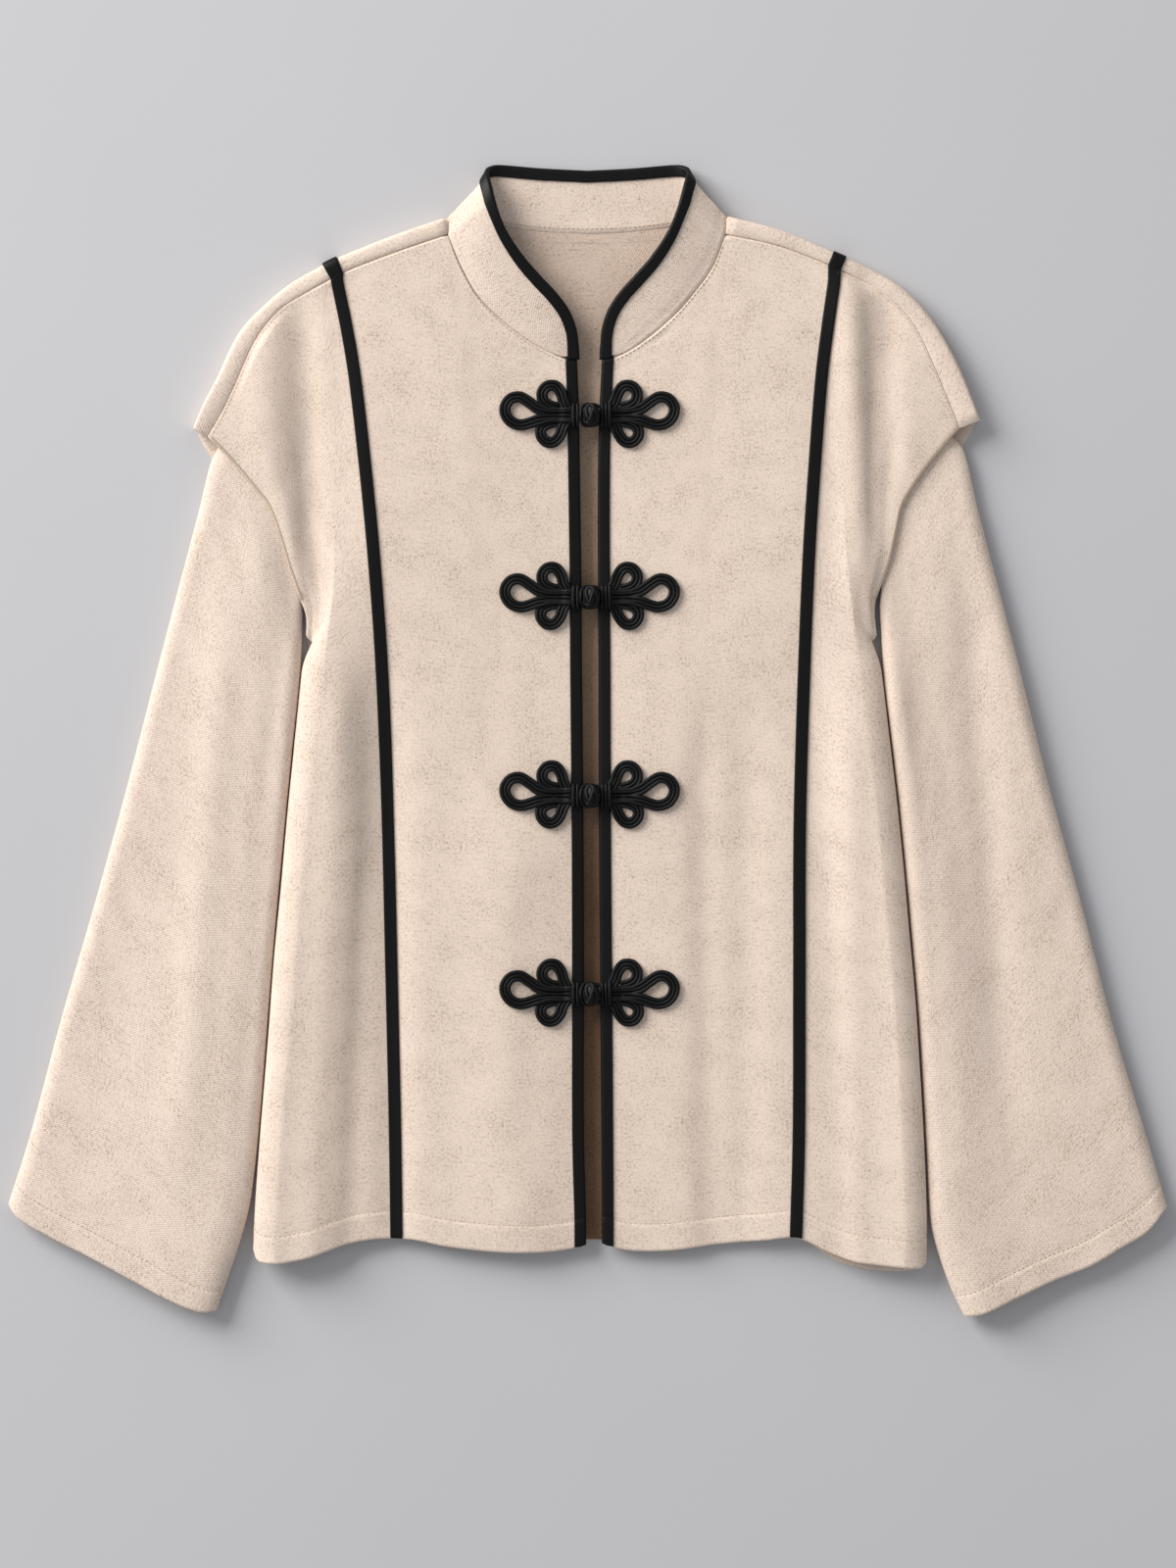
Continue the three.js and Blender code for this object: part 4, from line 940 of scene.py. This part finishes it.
def collar_half(side):
    """Straight lines from the neck seam to the free edge, and the depth of the crease near the seam."""
    rows = np.array(COLLAR_FREE, float)
    n = len(rows)
    steps = finely(0, n - 1, [(0, 9, 70), (9, 15, 70), (15, n - 1, 24)])
    place, x, y, z = [through(np.arange(n), rows[:, k], steps) for k in range(4)]
    shift = read(side["front_edge"], COLLAR_FRONT_Y) - COLLAR_TABLE_EDGE
    near = 1 - smooth((steps - 1) / 4)
    free = stack(side["sign"] * (x + shift * near), y, z)
    seam = neck_seam(side, place)
    ruling = unit(free - seam)
    start = smooth(steps)[:, None]
    seam = seam + ruling * COLLAR_GAP * start + np.array([0, 0.7, 0]) * (1 - start)
    f = finely(0, 1, [(0, 1, 14)])
    points = seam[:, None] + (free - seam)[:, None] * f[None, :, None]
    open_ends = smooth(steps / 3) * smooth((10 - steps) / 2)
    lift = side["collar_lift"] * np.sin(math.pi * f)[None] * open_ends[:, None]
    crease = 0.35 * np.exp(-((f[None] - 0.12) / 0.07) ** 2) * smooth(steps / 2)[:, None]
    points[..., 2] += lift
    return points, crease


def collar_grid():
    """Both halves of the collar end to end, with a slow sine wave and the crease along its normals."""
    left, left_crease = collar_half(LEFT)
    right, right_crease = collar_half(RIGHT)
    grid = np.concatenate([left, right[::-1][1:]])
    crease = np.concatenate([left_crease, right_crease[::-1][1:]])
    wave = 0.22 * np.sin(grid[..., 0] / 9.0 + grid[..., 1] / 14.0)
    return grid + normals_of(grid) * (wave - crease)[..., None]


def longer(rows, first=0.0, last=0.0):
    """Rows of points with one more row before or after them, straight on by that many millimetres."""
    if first:
        rows = np.concatenate([rows[:1] + unit(rows[:1, :1] - rows[1:2, :1]) * first, rows])
    if last:
        rows = np.concatenate([rows, rows[-1:] + unit(rows[-1:, :1] - rows[-2:-1, :1]) * last])
    return rows


def binding(edge, inward, normal, thickness):
    """Folded satin: a U round the wall's edge with flat legs, tight corners and a raised inner hem."""
    slot = thickness / 2 + BINDING_CLEARANCE
    face = thickness / 2 + BINDING_RISE
    inner = BINDING_WIDTH - BINDING_EDGE
    section = [(inner, slot), (inner + 0.1, face * 0.8), (inner - 0.3, face * 1.01),
               (inner - 1.1, face * 1.03), (inner * 0.45, face * 0.99), (0.7, face), (-0.3, face * 0.93),
               (-0.9, face * 0.68), (-1.2, face * 0.32), (-BINDING_EDGE, 0)]
    section += [(s, -t) for s, t in section[-2::-1]]
    section += [(-0.1, -slot), (-0.1, slot)]
    middle = edge - normal * thickness / 2
    across = unit((inward - edge) - normal * ((inward - edge) * normal).sum(-1, keepdims=True))
    return sweep(middle, across, normal, section)


def strip_grid(side):
    """Ribbon on the front's surface, moved out along it, that turns over the shoulder fold."""
    flip = side["sign"] < 0
    a = np.linspace(RIBBON_IN, RIBBON_OUT, 9)
    v = finely(0, 1, [(0, 0.06, 14), (0.06, 1, 130)])
    aa, vv = np.meshgrid(a, v)
    front = front_surface(side, aa, vv)
    front = front + normals_of(front, flip=flip) * front_detail(side, front, aa, vv, dip=0)[..., None]
    fold = shoulder_profile(side, a, FOLD_POINTS, dip=0)[:, ::-1]
    grid = np.concatenate([front, fold[:, :RIBBON_FOLD_POINTS].transpose(1, 0, 2)])
    normal = normals_of(grid, flip=flip)
    dome = 0.12 * (1 - ((a - 8) ** 2))[None]
    return grid + normal * (GAP + STRIP_THICKNESS - 0.15 + dome)[..., None]


# Frogs

def curve(points, count):
    """Smooth path through given points, by the same Hermite rule as the tables."""
    points = np.asarray(points, float)
    knots = run_of(points[:, :2])
    t = np.linspace(knots[0], knots[-1], count)
    return np.stack([through(knots, points[:, k], t) for k in range(points.shape[1])], -1)


def plan_normal(path):
    """Level vector to the left of a path: its direction turned by a right angle."""
    along = unit(np.gradient(path, axis=0))
    return unit(np.stack([-along[:, 1], along[:, 0], np.zeros(len(path))], -1))


# Middle of the large loop's band: columns x, y, height
LARGE_LOOP = [(9, 2.9, 1.9), (16, 2.7, 2), (25, 2.9, 2.1), (31, 4, 2), (36.5, 7.8, 1.7),
              (42.5, 11.4, 1.5), (48.4, 10.4, 1.5), (52, 5.4, 1.5), (51.6, 0.2, 1.5), (48, -4.4, 1.5),
              (42, -6.2, 1.5), (36, -4.8, 1.8), (31, -3.1, 2.2), (25, -2.6, 2.2), (16, -2.6, 2),
              (9, -2.9, 1.9)]
# Middle of each small loop's band, from below the stem round and back under it
UPPER_LOOP = [(12.6, 3.2, 0.9), (15.2, 8.6, 1.3), (16.6, 13.6, 1.4), (20, 18.3, 1.4), (25.2, 18.4, 1.4),
              (28.6, 14.4, 1.4), (28, 9.2, 1.3), (24, 6, 1.2), (18.6, 4.6, 0.9)]
LOWER_LOOP = [(12.8, -3, 0.9), (15.8, -8, 1.3), (17.4, -12.6, 1.4), (21.2, -16.8, 1.4), (26, -16.8, 1.4),
              (29.4, -12.8, 1.4), (28.8, -8, 1.3), (24.6, -5.2, 1.2), (19, -3.8, 0.9)]
CORD_RADIUS = 1.28
WRAP_RADIUS = 1.1
WRAP_PITCH = 2.1
KNOT_CORD_RADIUS = 1.25
BUTTON_LOOP_RADIUS = 1.15
CORD_SPACING = 2.35
LOOP_HALF_SHIFT = 2.6
FROG_CLEARANCE = 0.35
# The step up onto the binding: its height, where it starts beyond the front edge, and its run
FROG_STEP = 1.3
FROG_STEP_AT = 8.8
FROG_STEP_RUN = 4.5


def cord_band(points, shift, count, tuck=0.0):
    """Three cords side by side along a band's middle line; a tuck dips the first one under the others."""
    middle = curve([(x + shift * min(1, max(0, (x - 9) / 8)), y, z) for x, y, z in points], count)
    normal = plan_normal(middle)
    parts = []
    stem = smooth((30 + shift - middle[:, 0]) / 6) * tuck
    for k, offset in enumerate((-CORD_SPACING, 0, CORD_SPACING)):
        tucked = -2.6 if k == 0 else (offset + CORD_SPACING) * 0.5 - 1.3
        path = middle + normal * mix(offset, tucked, stem)[:, None]
        if k == 0:
            path[:, 2] -= 1.3 * stem
        path[:, 2] += 0.12 * math.cos(k * math.pi)
        parts.append(tube(path, CORD_RADIUS))
    return parts


def wrap_cords(left, right, half, height):
    """Cord turns across the stem: arches side by side, from one side of the stem over it to the other."""
    count = round((right - left) / WRAP_PITCH)
    parts = []
    turn = np.linspace(0, math.pi, 18)
    for x in np.linspace(left + WRAP_PITCH / 2, right - WRAP_PITCH / 2, count):
        y = half * np.sign(np.cos(turn)) * np.abs(np.cos(turn)) ** 0.75
        z = 0.9 + (height - 0.9) * np.sin(turn) ** 0.55
        parts.append(tube(stack(x, y, z), WRAP_RADIUS, reference=(1, 0, 0)))
    return parts


def ellipsoid(centre, size, rings=14, sides=20):
    """Closed ellipsoid: rings of latitude between two poles."""
    lat = np.linspace(-math.pi / 2, math.pi / 2, rings)[1:-1, None]
    lon = np.linspace(0, 2 * math.pi, sides, endpoint=False)[None]
    points = stack(np.cos(lat) * np.cos(lon), np.sin(lat), -np.cos(lat) * np.sin(lon)).reshape(-1, 3)
    verts = np.concatenate([points, [[0, -1, 0], [0, 1, 0]]]) * np.array(size) + np.array(centre)
    ids = np.arange(len(points)).reshape(-1, sides)
    faces = np.concatenate([around(ids[:-1], ids[1:])] + cones(ids, len(points), len(points) + 1))
    return verts, faces, np.zeros((len(verts), 2))


def knot(centre, size):
    """Woven ball: a closed cord goes round the long axis three times while it swings up and down four times.

    It rises and sinks by turns over an oval core.
    """
    t = np.linspace(0, 2 * math.pi, 220, endpoint=False)
    lon, lat = 3 * t, 1.22 * np.sin(4 * t)
    swell = 0.86 + 0.07 * np.cos(8 * t + 0.5)
    shape = np.array(size)
    direction = stack(np.cos(lat) * np.cos(lon), np.sin(lat), np.cos(lat) * np.sin(lon))
    path = direction * shape * swell[:, None] + np.array(centre)
    outward = unit(direction / shape)
    cord = tube(path, KNOT_CORD_RADIUS, reference=outward, ring=True)
    return [ellipsoid(centre, shape * 0.84), cord]


def laid(made, side, height):
    """Half a frog lifted onto its front and binding at that height, mirrored to its side."""
    verts, faces, coords = made
    x, y = verts[:, 0], verts[:, 1] + height
    edge = read(side["front_edge"], height)
    on_binding = 1 - smooth((x - edge - FROG_STEP_AT) / FROG_STEP_RUN)
    inner = np.maximum(x, panel_edge(side, y))
    soft = unevenness(side["sign"] * inner, y) - creases(side["sign"] * inner, y)
    base = front_height(side, inner, y) + soft + FROG_CLEARANCE + FROG_STEP * on_binding
    out = stack(side["sign"] * x, y, verts[:, 2] + base)
    return out, (faces[:, ::-1] if side["sign"] < 0 else faces), coords


def frog_half(shift):
    """The three loops that both halves of a frog have, moved outwards by the shift."""
    return (cord_band(UPPER_LOOP, shift, 58) + cord_band(LOWER_LOOP, shift, 58)
            + cord_band(LARGE_LOOP, shift, 110, tuck=1.0))


def frog_knot():
    """Loops, two wraps, the woven button and the two strands of its neck."""
    parts = frog_half(0) + wrap_cords(5.2, 9.9, 6.9, 4.1)
    parts += knot((-2.6, 0, 6.2), (4.6, 8.3, 4.6))
    neck = [(10, 0, 2.6), (6, 0, 3.4), (1, 0, 4.6)]
    for offset in (-1.3, 1.3):
        path = curve([(x, offset, z) for x, _, z in neck], 12)
        parts.append(tube(path, KNOT_CORD_RADIUS))
    return join(parts)


def frog_loop():
    """Loops, three wraps and the button loop, which runs out over the button and back."""
    parts = frog_half(LOOP_HALF_SHIFT) + wrap_cords(8.2, 15, 7.1, 4.2)
    half = [(11, 3.6, 2.2), (7, 5.6, 1.8), (2, 6.6, 1.7), (-2.2, 6.2, 2.3), (-3.8, 3.7, 4.1),
            (-4.2, 1.2, 5.5)]
    path = curve(half + [(x, -y, z) for x, y, z in half[::-1]], 44)
    parts.append(tube(path, BUTTON_LOOP_RADIUS, reference=(0.02, 0, 1)))
    return join(parts)


# Materials

def new_group(name, inputs, outputs):
    group = bpy.data.node_groups.new(name, "ShaderNodeTree")
    for label, kind in inputs:
        group.interface.new_socket(name=label, in_out="INPUT", socket_type=kind)
    for label, kind in outputs:
        group.interface.new_socket(name=label, in_out="OUTPUT", socket_type=kind)
    nodes = group.nodes
    return group, nodes.new("NodeGroupInput"), nodes.new("NodeGroupOutput")


def math_node(tree, operation, a, b=None, clamp=False):
    node = tree.nodes.new("ShaderNodeMath")
    node.operation = operation
    node.use_clamp = clamp
    for socket, value in zip(node.inputs, (a, b)):
        if isinstance(value, (int, float)):
            socket.default_value = value
        elif value is not None:
            tree.links.new(value, socket)
    return node.outputs[0]


def plus(tree, a, b):
    return math_node(tree, "ADD", a, b)


def minus(tree, a, b):
    return math_node(tree, "SUBTRACT", a, b)


def times(tree, a, b, clamp=False):
    return math_node(tree, "MULTIPLY", a, b, clamp)


def noise(tree, vector, scale, detail=3.0, roughness=0.55, stretch=(1, 1, 1)):
    mapping = tree.nodes.new("ShaderNodeMapping")
    mapping.inputs["Scale"].default_value = stretch
    tree.links.new(vector, mapping.inputs["Vector"])
    node = tree.nodes.new("ShaderNodeTexNoise")
    node.inputs["Scale"].default_value = scale
    node.inputs["Detail"].default_value = detail
    node.inputs["Roughness"].default_value = roughness
    tree.links.new(mapping.outputs[0], node.inputs["Vector"])
    return node.outputs[0]


def weave_group():
    """Plain weave: the product of two sines across warp and weft, made uneven by stretched noise."""
    tree, source, sink = new_group(
        "plain weave", [("Grain", "NodeSocketVector"), ("Threads per metre", "NodeSocketFloat")],
        [("Height", "NodeSocketFloat"), ("Slub", "NodeSocketFloat")])
    grain = source.outputs["Grain"]
    split = tree.nodes.new("ShaderNodeSeparateXYZ")
    tree.links.new(grain, split.inputs[0])
    wobble = noise(tree, grain, 160, 2.0)
    shift = times(tree, wobble, 4.2)
    rate = times(tree, source.outputs["Threads per metre"], math.pi)
    phases = [plus(tree, times(tree, split.outputs[k], rate), shift) for k in (0, 1)]
    across, along = [math_node(tree, "SINE", phase) for phase in phases]
    woven = times(tree, across, along)
    slub_u = noise(tree, grain, 700, 2.0, stretch=(1, 0.25, 1))
    slub_v = noise(tree, grain, 700, 2.0, stretch=(0.25, 1, 1))
    slub = times(tree, plus(tree, slub_u, slub_v), 0.5)
    height = plus(tree, times(tree, woven, 0.25), times(tree, slub, 1.1))
    tree.links.new(height, sink.inputs["Height"])
    tree.links.new(slub, sink.inputs["Slub"])
    return tree


def material(name, colour, roughness):
    made = bpy.data.materials.new(name)
    made.use_nodes = True
    tree = made.node_tree
    shader = next(n for n in tree.nodes if n.type == "BSDF_PRINCIPLED")
    shader.inputs["Base Color"].default_value = (*colour, 1)
    shader.inputs["Roughness"].default_value = roughness
    grain = tree.nodes.new("ShaderNodeUVMap")
    grain.uv_map = "grain"
    return made, tree, shader, grain.outputs[0]


def ramp(tree, factor, stops):
    node = tree.nodes.new("ShaderNodeValToRGB")
    while len(node.color_ramp.elements) < len(stops):
        node.color_ramp.elements.new(0.5)
    for element, (place, colour) in zip(node.color_ramp.elements, stops):
        element.position = place
        element.color = (*colour, 1)
    tree.links.new(factor, node.inputs[0])
    return node.outputs[0]


def bump(tree, height, strength, distance):
    node = tree.nodes.new("ShaderNodeBump")
    node.inputs["Strength"].default_value = strength
    node.inputs["Distance"].default_value = distance
    tree.links.new(height, node.inputs["Height"])
    return node.outputs[0]


def painted_inner_shade(tree, colour):
    """Painted shade on the back's inner face, standing in for the shadow inside the neck and in the opening
    between the fronts: darker and browner further down the opening, none past the neck's width.
    """
    split = tree.nodes.new("ShaderNodeSeparateXYZ")
    tree.links.new(tree.nodes.new("ShaderNodeTexCoord").outputs["Object"], split.inputs[0])
    x, y, z = split.outputs
    down = times(tree, minus(tree, PAINTED_SHADE_TOP, y), 1 / (PAINTED_SHADE_TOP - PAINTED_SHADE_LOW), True)
    # Painted shade: the tones darken with the distance down from the neck's top.
    tone = ramp(tree, down, PAINTED_SHADE_TONES)
    beside = minus(tree, math_node(tree, "ABSOLUTE", x), NECK_HALF)
    inside = minus(tree, 1, times(tree, beside, 80, True))
    upper = times(tree, minus(tree, z, 0.0006), 1500, True)
    blend = tree.nodes.new("ShaderNodeMix")
    blend.data_type = "RGBA"
    blend.blend_type = "MULTIPLY"
    tree.links.new(times(tree, inside, upper), blend.inputs[0])
    tree.links.new(colour, blend.inputs[6])
    tree.links.new(tone, blend.inputs[7])
    return blend.outputs[2]


def cloth_material(weave, name="melange cloth", painted_shade=False):
    """Cream melange: darker fibres show through a light plain weave, with a faint slow change of tone; the
    back's copy also has painted shade on its inner face.
    """
    made, tree, shader, grain = material(name, CLOTH_LIGHT, 0.92)
    shader.inputs["Sheen Weight"].default_value = 0.12
    shader.inputs["Sheen Roughness"].default_value = 0.55
    shader.inputs["Specular IOR Level"].default_value = 0.2
    threads = tree.nodes.new("ShaderNodeGroup")
    threads.node_tree = weave
    threads.inputs["Threads per metre"].default_value = 1 / (THREAD_PITCH_MM * MM)
    tree.links.new(grain, threads.inputs["Grain"])
    fleck = noise(tree, grain, 620, 5.0, 0.75)
    cloud = noise(tree, grain, 45, 3.0, 0.6)
    blend = plus(tree, times(tree, fleck, 0.85), times(tree, threads.outputs["Slub"], 0.26))
    blend = plus(tree, blend, times(tree, minus(tree, cloud, 0.5), 0.22))
    middle = tuple(mix(a, b, 0.3) for a, b in zip(CLOTH_LIGHT, CLOTH_DARK))
    pale = tuple(c * 1.1 for c in CLOTH_LIGHT)
    colour = ramp(tree, blend, [(0.39, CLOTH_DARK), (0.48, middle), (0.55, CLOTH_LIGHT), (0.65, pale)])
    # Painted shade: darkens the back's inner face where the neck and the opening between the fronts lie in
    # shadow.
    if painted_shade:
        colour = painted_inner_shade(tree, colour)
    tree.links.new(colour, shader.inputs["Base Color"])
    nap = noise(tree, grain, 900, 4.0, 0.7)
    height = plus(tree, threads.outputs["Height"], times(tree, nap, 0.6))
    tree.links.new(bump(tree, height, 0.75, 0.0004), shader.inputs["Normal"])
    return made


def satin_material():
    """Black satin: fine long floats across a narrow strip, with a soft low sheen."""
    made, tree, shader, grain = material("black satin", BLACK_SATIN, 0.42)
    shader.inputs["Specular IOR Level"].default_value = 0.16
    floats = noise(tree, grain, 900, 3.0, stretch=(1, 0.08, 1))
    slow = noise(tree, grain, 90, 2.0)
    rough = plus(tree, times(tree, floats, 0.16), 0.36)
    tree.links.new(rough, shader.inputs["Roughness"])
    height = plus(tree, floats, times(tree, slow, 2.0))
    tree.links.new(bump(tree, height, 0.35, 0.0002), shader.inputs["Normal"])
    return made


def cord_material():
    """Black cord: satin thread wound at a slant, as fine ridges along the cord."""
    made, tree, shader, grain = material("black cord", BLACK_CORD, 0.5)
    shader.inputs["Specular IOR Level"].default_value = 0.2
    split = tree.nodes.new("ShaderNodeSeparateXYZ")
    tree.links.new(grain, split.inputs[0])
    slant = plus(tree, times(tree, split.outputs[1], 5200), times(tree, split.outputs[0], 1600))
    ridge = math_node(tree, "SINE", slant)
    wear = noise(tree, grain, 500, 3.0)
    height = plus(tree, times(tree, ridge, 0.5), wear)
    tree.links.new(bump(tree, height, 0.4, 0.00025), shader.inputs["Normal"])
    tree.links.new(plus(tree, times(tree, wear, 0.2), 0.4), shader.inputs["Roughness"])
    return made


def thread_material():
    made, tree, shader, grain = material("cream thread", THREAD_COLOUR, 0.7)
    twist = noise(tree, grain, 1500, 2.0)
    tree.links.new(ramp(tree, twist, [(0.3, tuple(c * 0.75 for c in THREAD_COLOUR)), (0.7, THREAD_COLOUR)]),
                   shader.inputs["Base Color"])
    return made


def floor_material():
    made = bpy.data.materials.new("pale backdrop")
    made.use_nodes = True
    tree = made.node_tree
    shader = next(n for n in tree.nodes if n.type == "BSDF_PRINCIPLED")
    shader.inputs["Roughness"].default_value = 0.95
    shader.inputs["Specular IOR Level"].default_value = 0.1
    place = tree.nodes.new("ShaderNodeTexCoord").outputs["Object"]
    slow = noise(tree, place, 3, 2.0)
    shade = [tuple(c * k for c in FLOOR_COLOUR) for k in (0.99, 1.01)]
    tree.links.new(ramp(tree, slow, [(0.3, shade[0]), (0.7, shade[1])]), shader.inputs["Base Color"])
    return made


# Camera, light and floor

def set_camera():
    data = bpy.data.cameras.new("camera")
    data.sensor_fit = "VERTICAL"
    data.sensor_height = SENSOR
    data.lens = SENSOR * CAMERA_DISTANCE / (PICTURE_HEIGHT_PX * PIXEL_MM * MM)
    data.clip_end = 20
    camera = bpy.data.objects.new("camera", data)
    camera.location = (CAMERA_CENTRE_MM[0] * MM, CAMERA_CENTRE_MM[1] * MM, CAMERA_DISTANCE + CAMERA_LEVEL)
    bpy.context.scene.collection.objects.link(camera)
    bpy.context.scene.camera = camera


def set_key_light():
    """One large soft lamp that faces the origin: tilted from the upright, then turned round it."""
    data = bpy.data.lights.new("key", "AREA")
    data.shape = "SQUARE"
    data.size = KEY_SIZE
    data.energy = KEY_WATTS
    data.color = KEY_COLOUR
    lamp = bpy.data.objects.new("key", data)
    lamp.location = KEY_PLACE
    x, y, z = unit(np.array(KEY_PLACE, float))
    lamp.rotation_euler = (0, math.acos(z), math.atan2(y, x))
    bpy.context.scene.collection.objects.link(lamp)


def set_surround():
    scene = bpy.context.scene
    scene.view_settings.view_transform = "Standard"
    world = bpy.data.worlds.new("soft surround")
    world.use_nodes = True
    background = next(n for n in world.node_tree.nodes if n.type == "BACKGROUND")
    background.inputs["Color"].default_value = SURROUND_COLOUR
    background.inputs["Strength"].default_value = SURROUND_STRENGTH
    scene.world = world


def set_floor():
    s = FLOOR_HALF
    mesh = bpy.data.meshes.new("floor")
    mesh.from_pydata([(-s, -s, 0), (s, -s, 0), (s, s, 0), (-s, s, 0)], [], [(0, 1, 2, 3)])
    mesh.materials.append(floor_material())
    floor = bpy.data.objects.new("floor", mesh)
    bpy.context.scene.collection.objects.link(floor)


# Build

def column_path(side, a, distance, from_hem):
    """Points on a front a set distance above the hem or below the top, for columns a, with their normals."""
    low, high = front_ends(side, np.minimum(a, float(CREST_COLUMN)))
    share = distance / (high - low)
    v = share if from_hem else 1 - share
    points = front_surface(side, a, v)
    nearby = front_surface(side, a + 0.02, v)
    above = front_surface(side, a, v + 0.002)
    normal = unit(np.cross(nearby - points, above - points)) * side["sign"]
    return points + normal * front_detail(side, points, a, v)[..., None], normal


def front_stitches(side):
    """Hem line, shoulder line, neck line and the overlock threads that finish the cap's edge."""
    parts = []
    for first, last, count, from_hem, distance, length, spacing, radius, lift in FRONT_STITCH_ROWS:
        path, up = column_path(side, np.linspace(first, last, count), distance, from_hem)
        parts.append(stitches(path, length, spacing, radius, up, lift))
    return join(parts + overlock(side))


def overlock(side):
    """Slanted threads over the cap's edge: each goes from just outside it over a middle point inwards."""
    v = np.linspace(0.655, 0.999, 700)
    edge = front_surface(side, np.full(len(v), float(EDGE_COLUMN)), v)
    inside = front_surface(side, np.full(len(v), OVERLOCK_COLUMN), v)
    sewn = edge[:, 1] > OVERLOCK_START
    edge, inside = edge[sewn], inside[sewn]
    run = run_of(edge)
    starts = np.arange(0, run[-1] - 1.2, OVERLOCK_PITCH)
    inward = unit(at_run(run, inside - edge, starts))
    upward = np.array([0, 0, 1.0])
    low = at_run(run, edge, starts) - inward * 0.45 - upward * 0.35
    high = at_run(run, edge, starts + OVERLOCK_SLANT) + inward * OVERLOCK_WIDTH + upward * 0.1
    middle = (low + high) / 2 + upward * 0.32
    face = np.broadcast_to(upward, low.shape)
    return [dashes(a, b, face, OVERLOCK_RADIUS, OVERLOCK_LIFT) for a, b in ((low, middle), (middle, high))]


def cuff_stitches(side, grid):
    """Dashes round the cuff, a hem's depth from its edge."""
    distance = np.linalg.norm(np.diff(grid[:, CUFF_POINT], axis=0), axis=-1)[::-1].cumsum()
    row = len(grid) - 2 - int(np.searchsorted(distance, CUFF_DEPTH))
    normal = normals_of(grid, loop=True, flip=side["sign"] > 0)
    ring = np.arange(*SLEEVE_TOP_POINTS)
    return stitches(grid[row, ring], length=2.1, spacing=3.1, radius=0.26, up=normal[row, ring], lift=0.12)


def collar_stitches(grid):
    """Dashes along the collar's neck seam, seen inside the back."""
    outward = normals_of(grid)
    inner = grid - outward * COLLAR_CLOTH
    return stitches(inner[:, 1], length=2.1, spacing=3.0, radius=0.24, up=-outward[:, 1], lift=0.1)


def build():
    weave = weave_group()
    cloth = cloth_material(weave)
    satin = satin_material()
    cord = cord_material()
    thread = thread_material()
    # The back's cloth carries painted shade on its inner face.
    painted_shade = cloth_material(weave, "melange cloth, inside shaded", painted_shade=True)
    back = piece("back_panel", shell(back_grid(), CLOTH, flip=True), painted_shade, ["back"])
    for side, name in ((LEFT, "right"), (RIGHT, "left")):
        flip = side["sign"] < 0
        grid = front_grid(side)
        front = piece(f"front_panel_{name}", shell(grid, CLOTH, flip=flip), cloth, [f"front_{name}"])
        sewn = piece(f"front_stitching_{name}", front_stitches(side), thread)
        bound_rows = longer(grid[:, :4], last=BINDING_LAP)
        edge = binding(bound_rows[:, 0], bound_rows[:, 3], normals_of(bound_rows, flip=flip)[:, 0], CLOTH)
        bound = piece(f"edge_binding_{name}", edge, satin, [f"binding_front_{name}"])
        ribbon = piece(f"ribbon_{name}", shell(strip_grid(side), STRIP_THICKNESS, flip=flip), satin,
                       [f"strip_{name}"])
        rings = sleeve_grid(side)
        sleeve = piece(f"sleeve_tube_{name}", shell(rings, CLOTH, loop=True, flip=not flip), cloth,
                       [f"sleeve_{name}"])
        cuff = piece(f"cuff_stitching_{name}", cuff_stitches(side, rings), thread)
    grid = collar_grid()
    collar = piece("stand_collar", shell(grid, COLLAR_CLOTH), cloth, ["collar"])
    seam = piece("collar_stitching", collar_stitches(grid), thread)
    bound_rows = longer(grid[:, -4:], first=BINDING_LAP, last=BINDING_LAP)
    edge = binding(bound_rows[:, -1], bound_rows[:, 0], normals_of(bound_rows)[:, -1], COLLAR_CLOTH)
    bound = piece("collar_binding", edge, satin, ["binding_collar"])
    for i, height in enumerate(FROG_HEIGHTS, 1):
        piece(f"frog_cords_knot_{i}", laid(frog_knot(), LEFT, height), cord, [f"frog_knot_{i}"])
        piece(f"frog_cords_loop_{i}", laid(frog_loop(), RIGHT, height), cord, [f"frog_loop_{i}"])


set_camera()
set_surround()
set_key_light()
set_floor()
build()
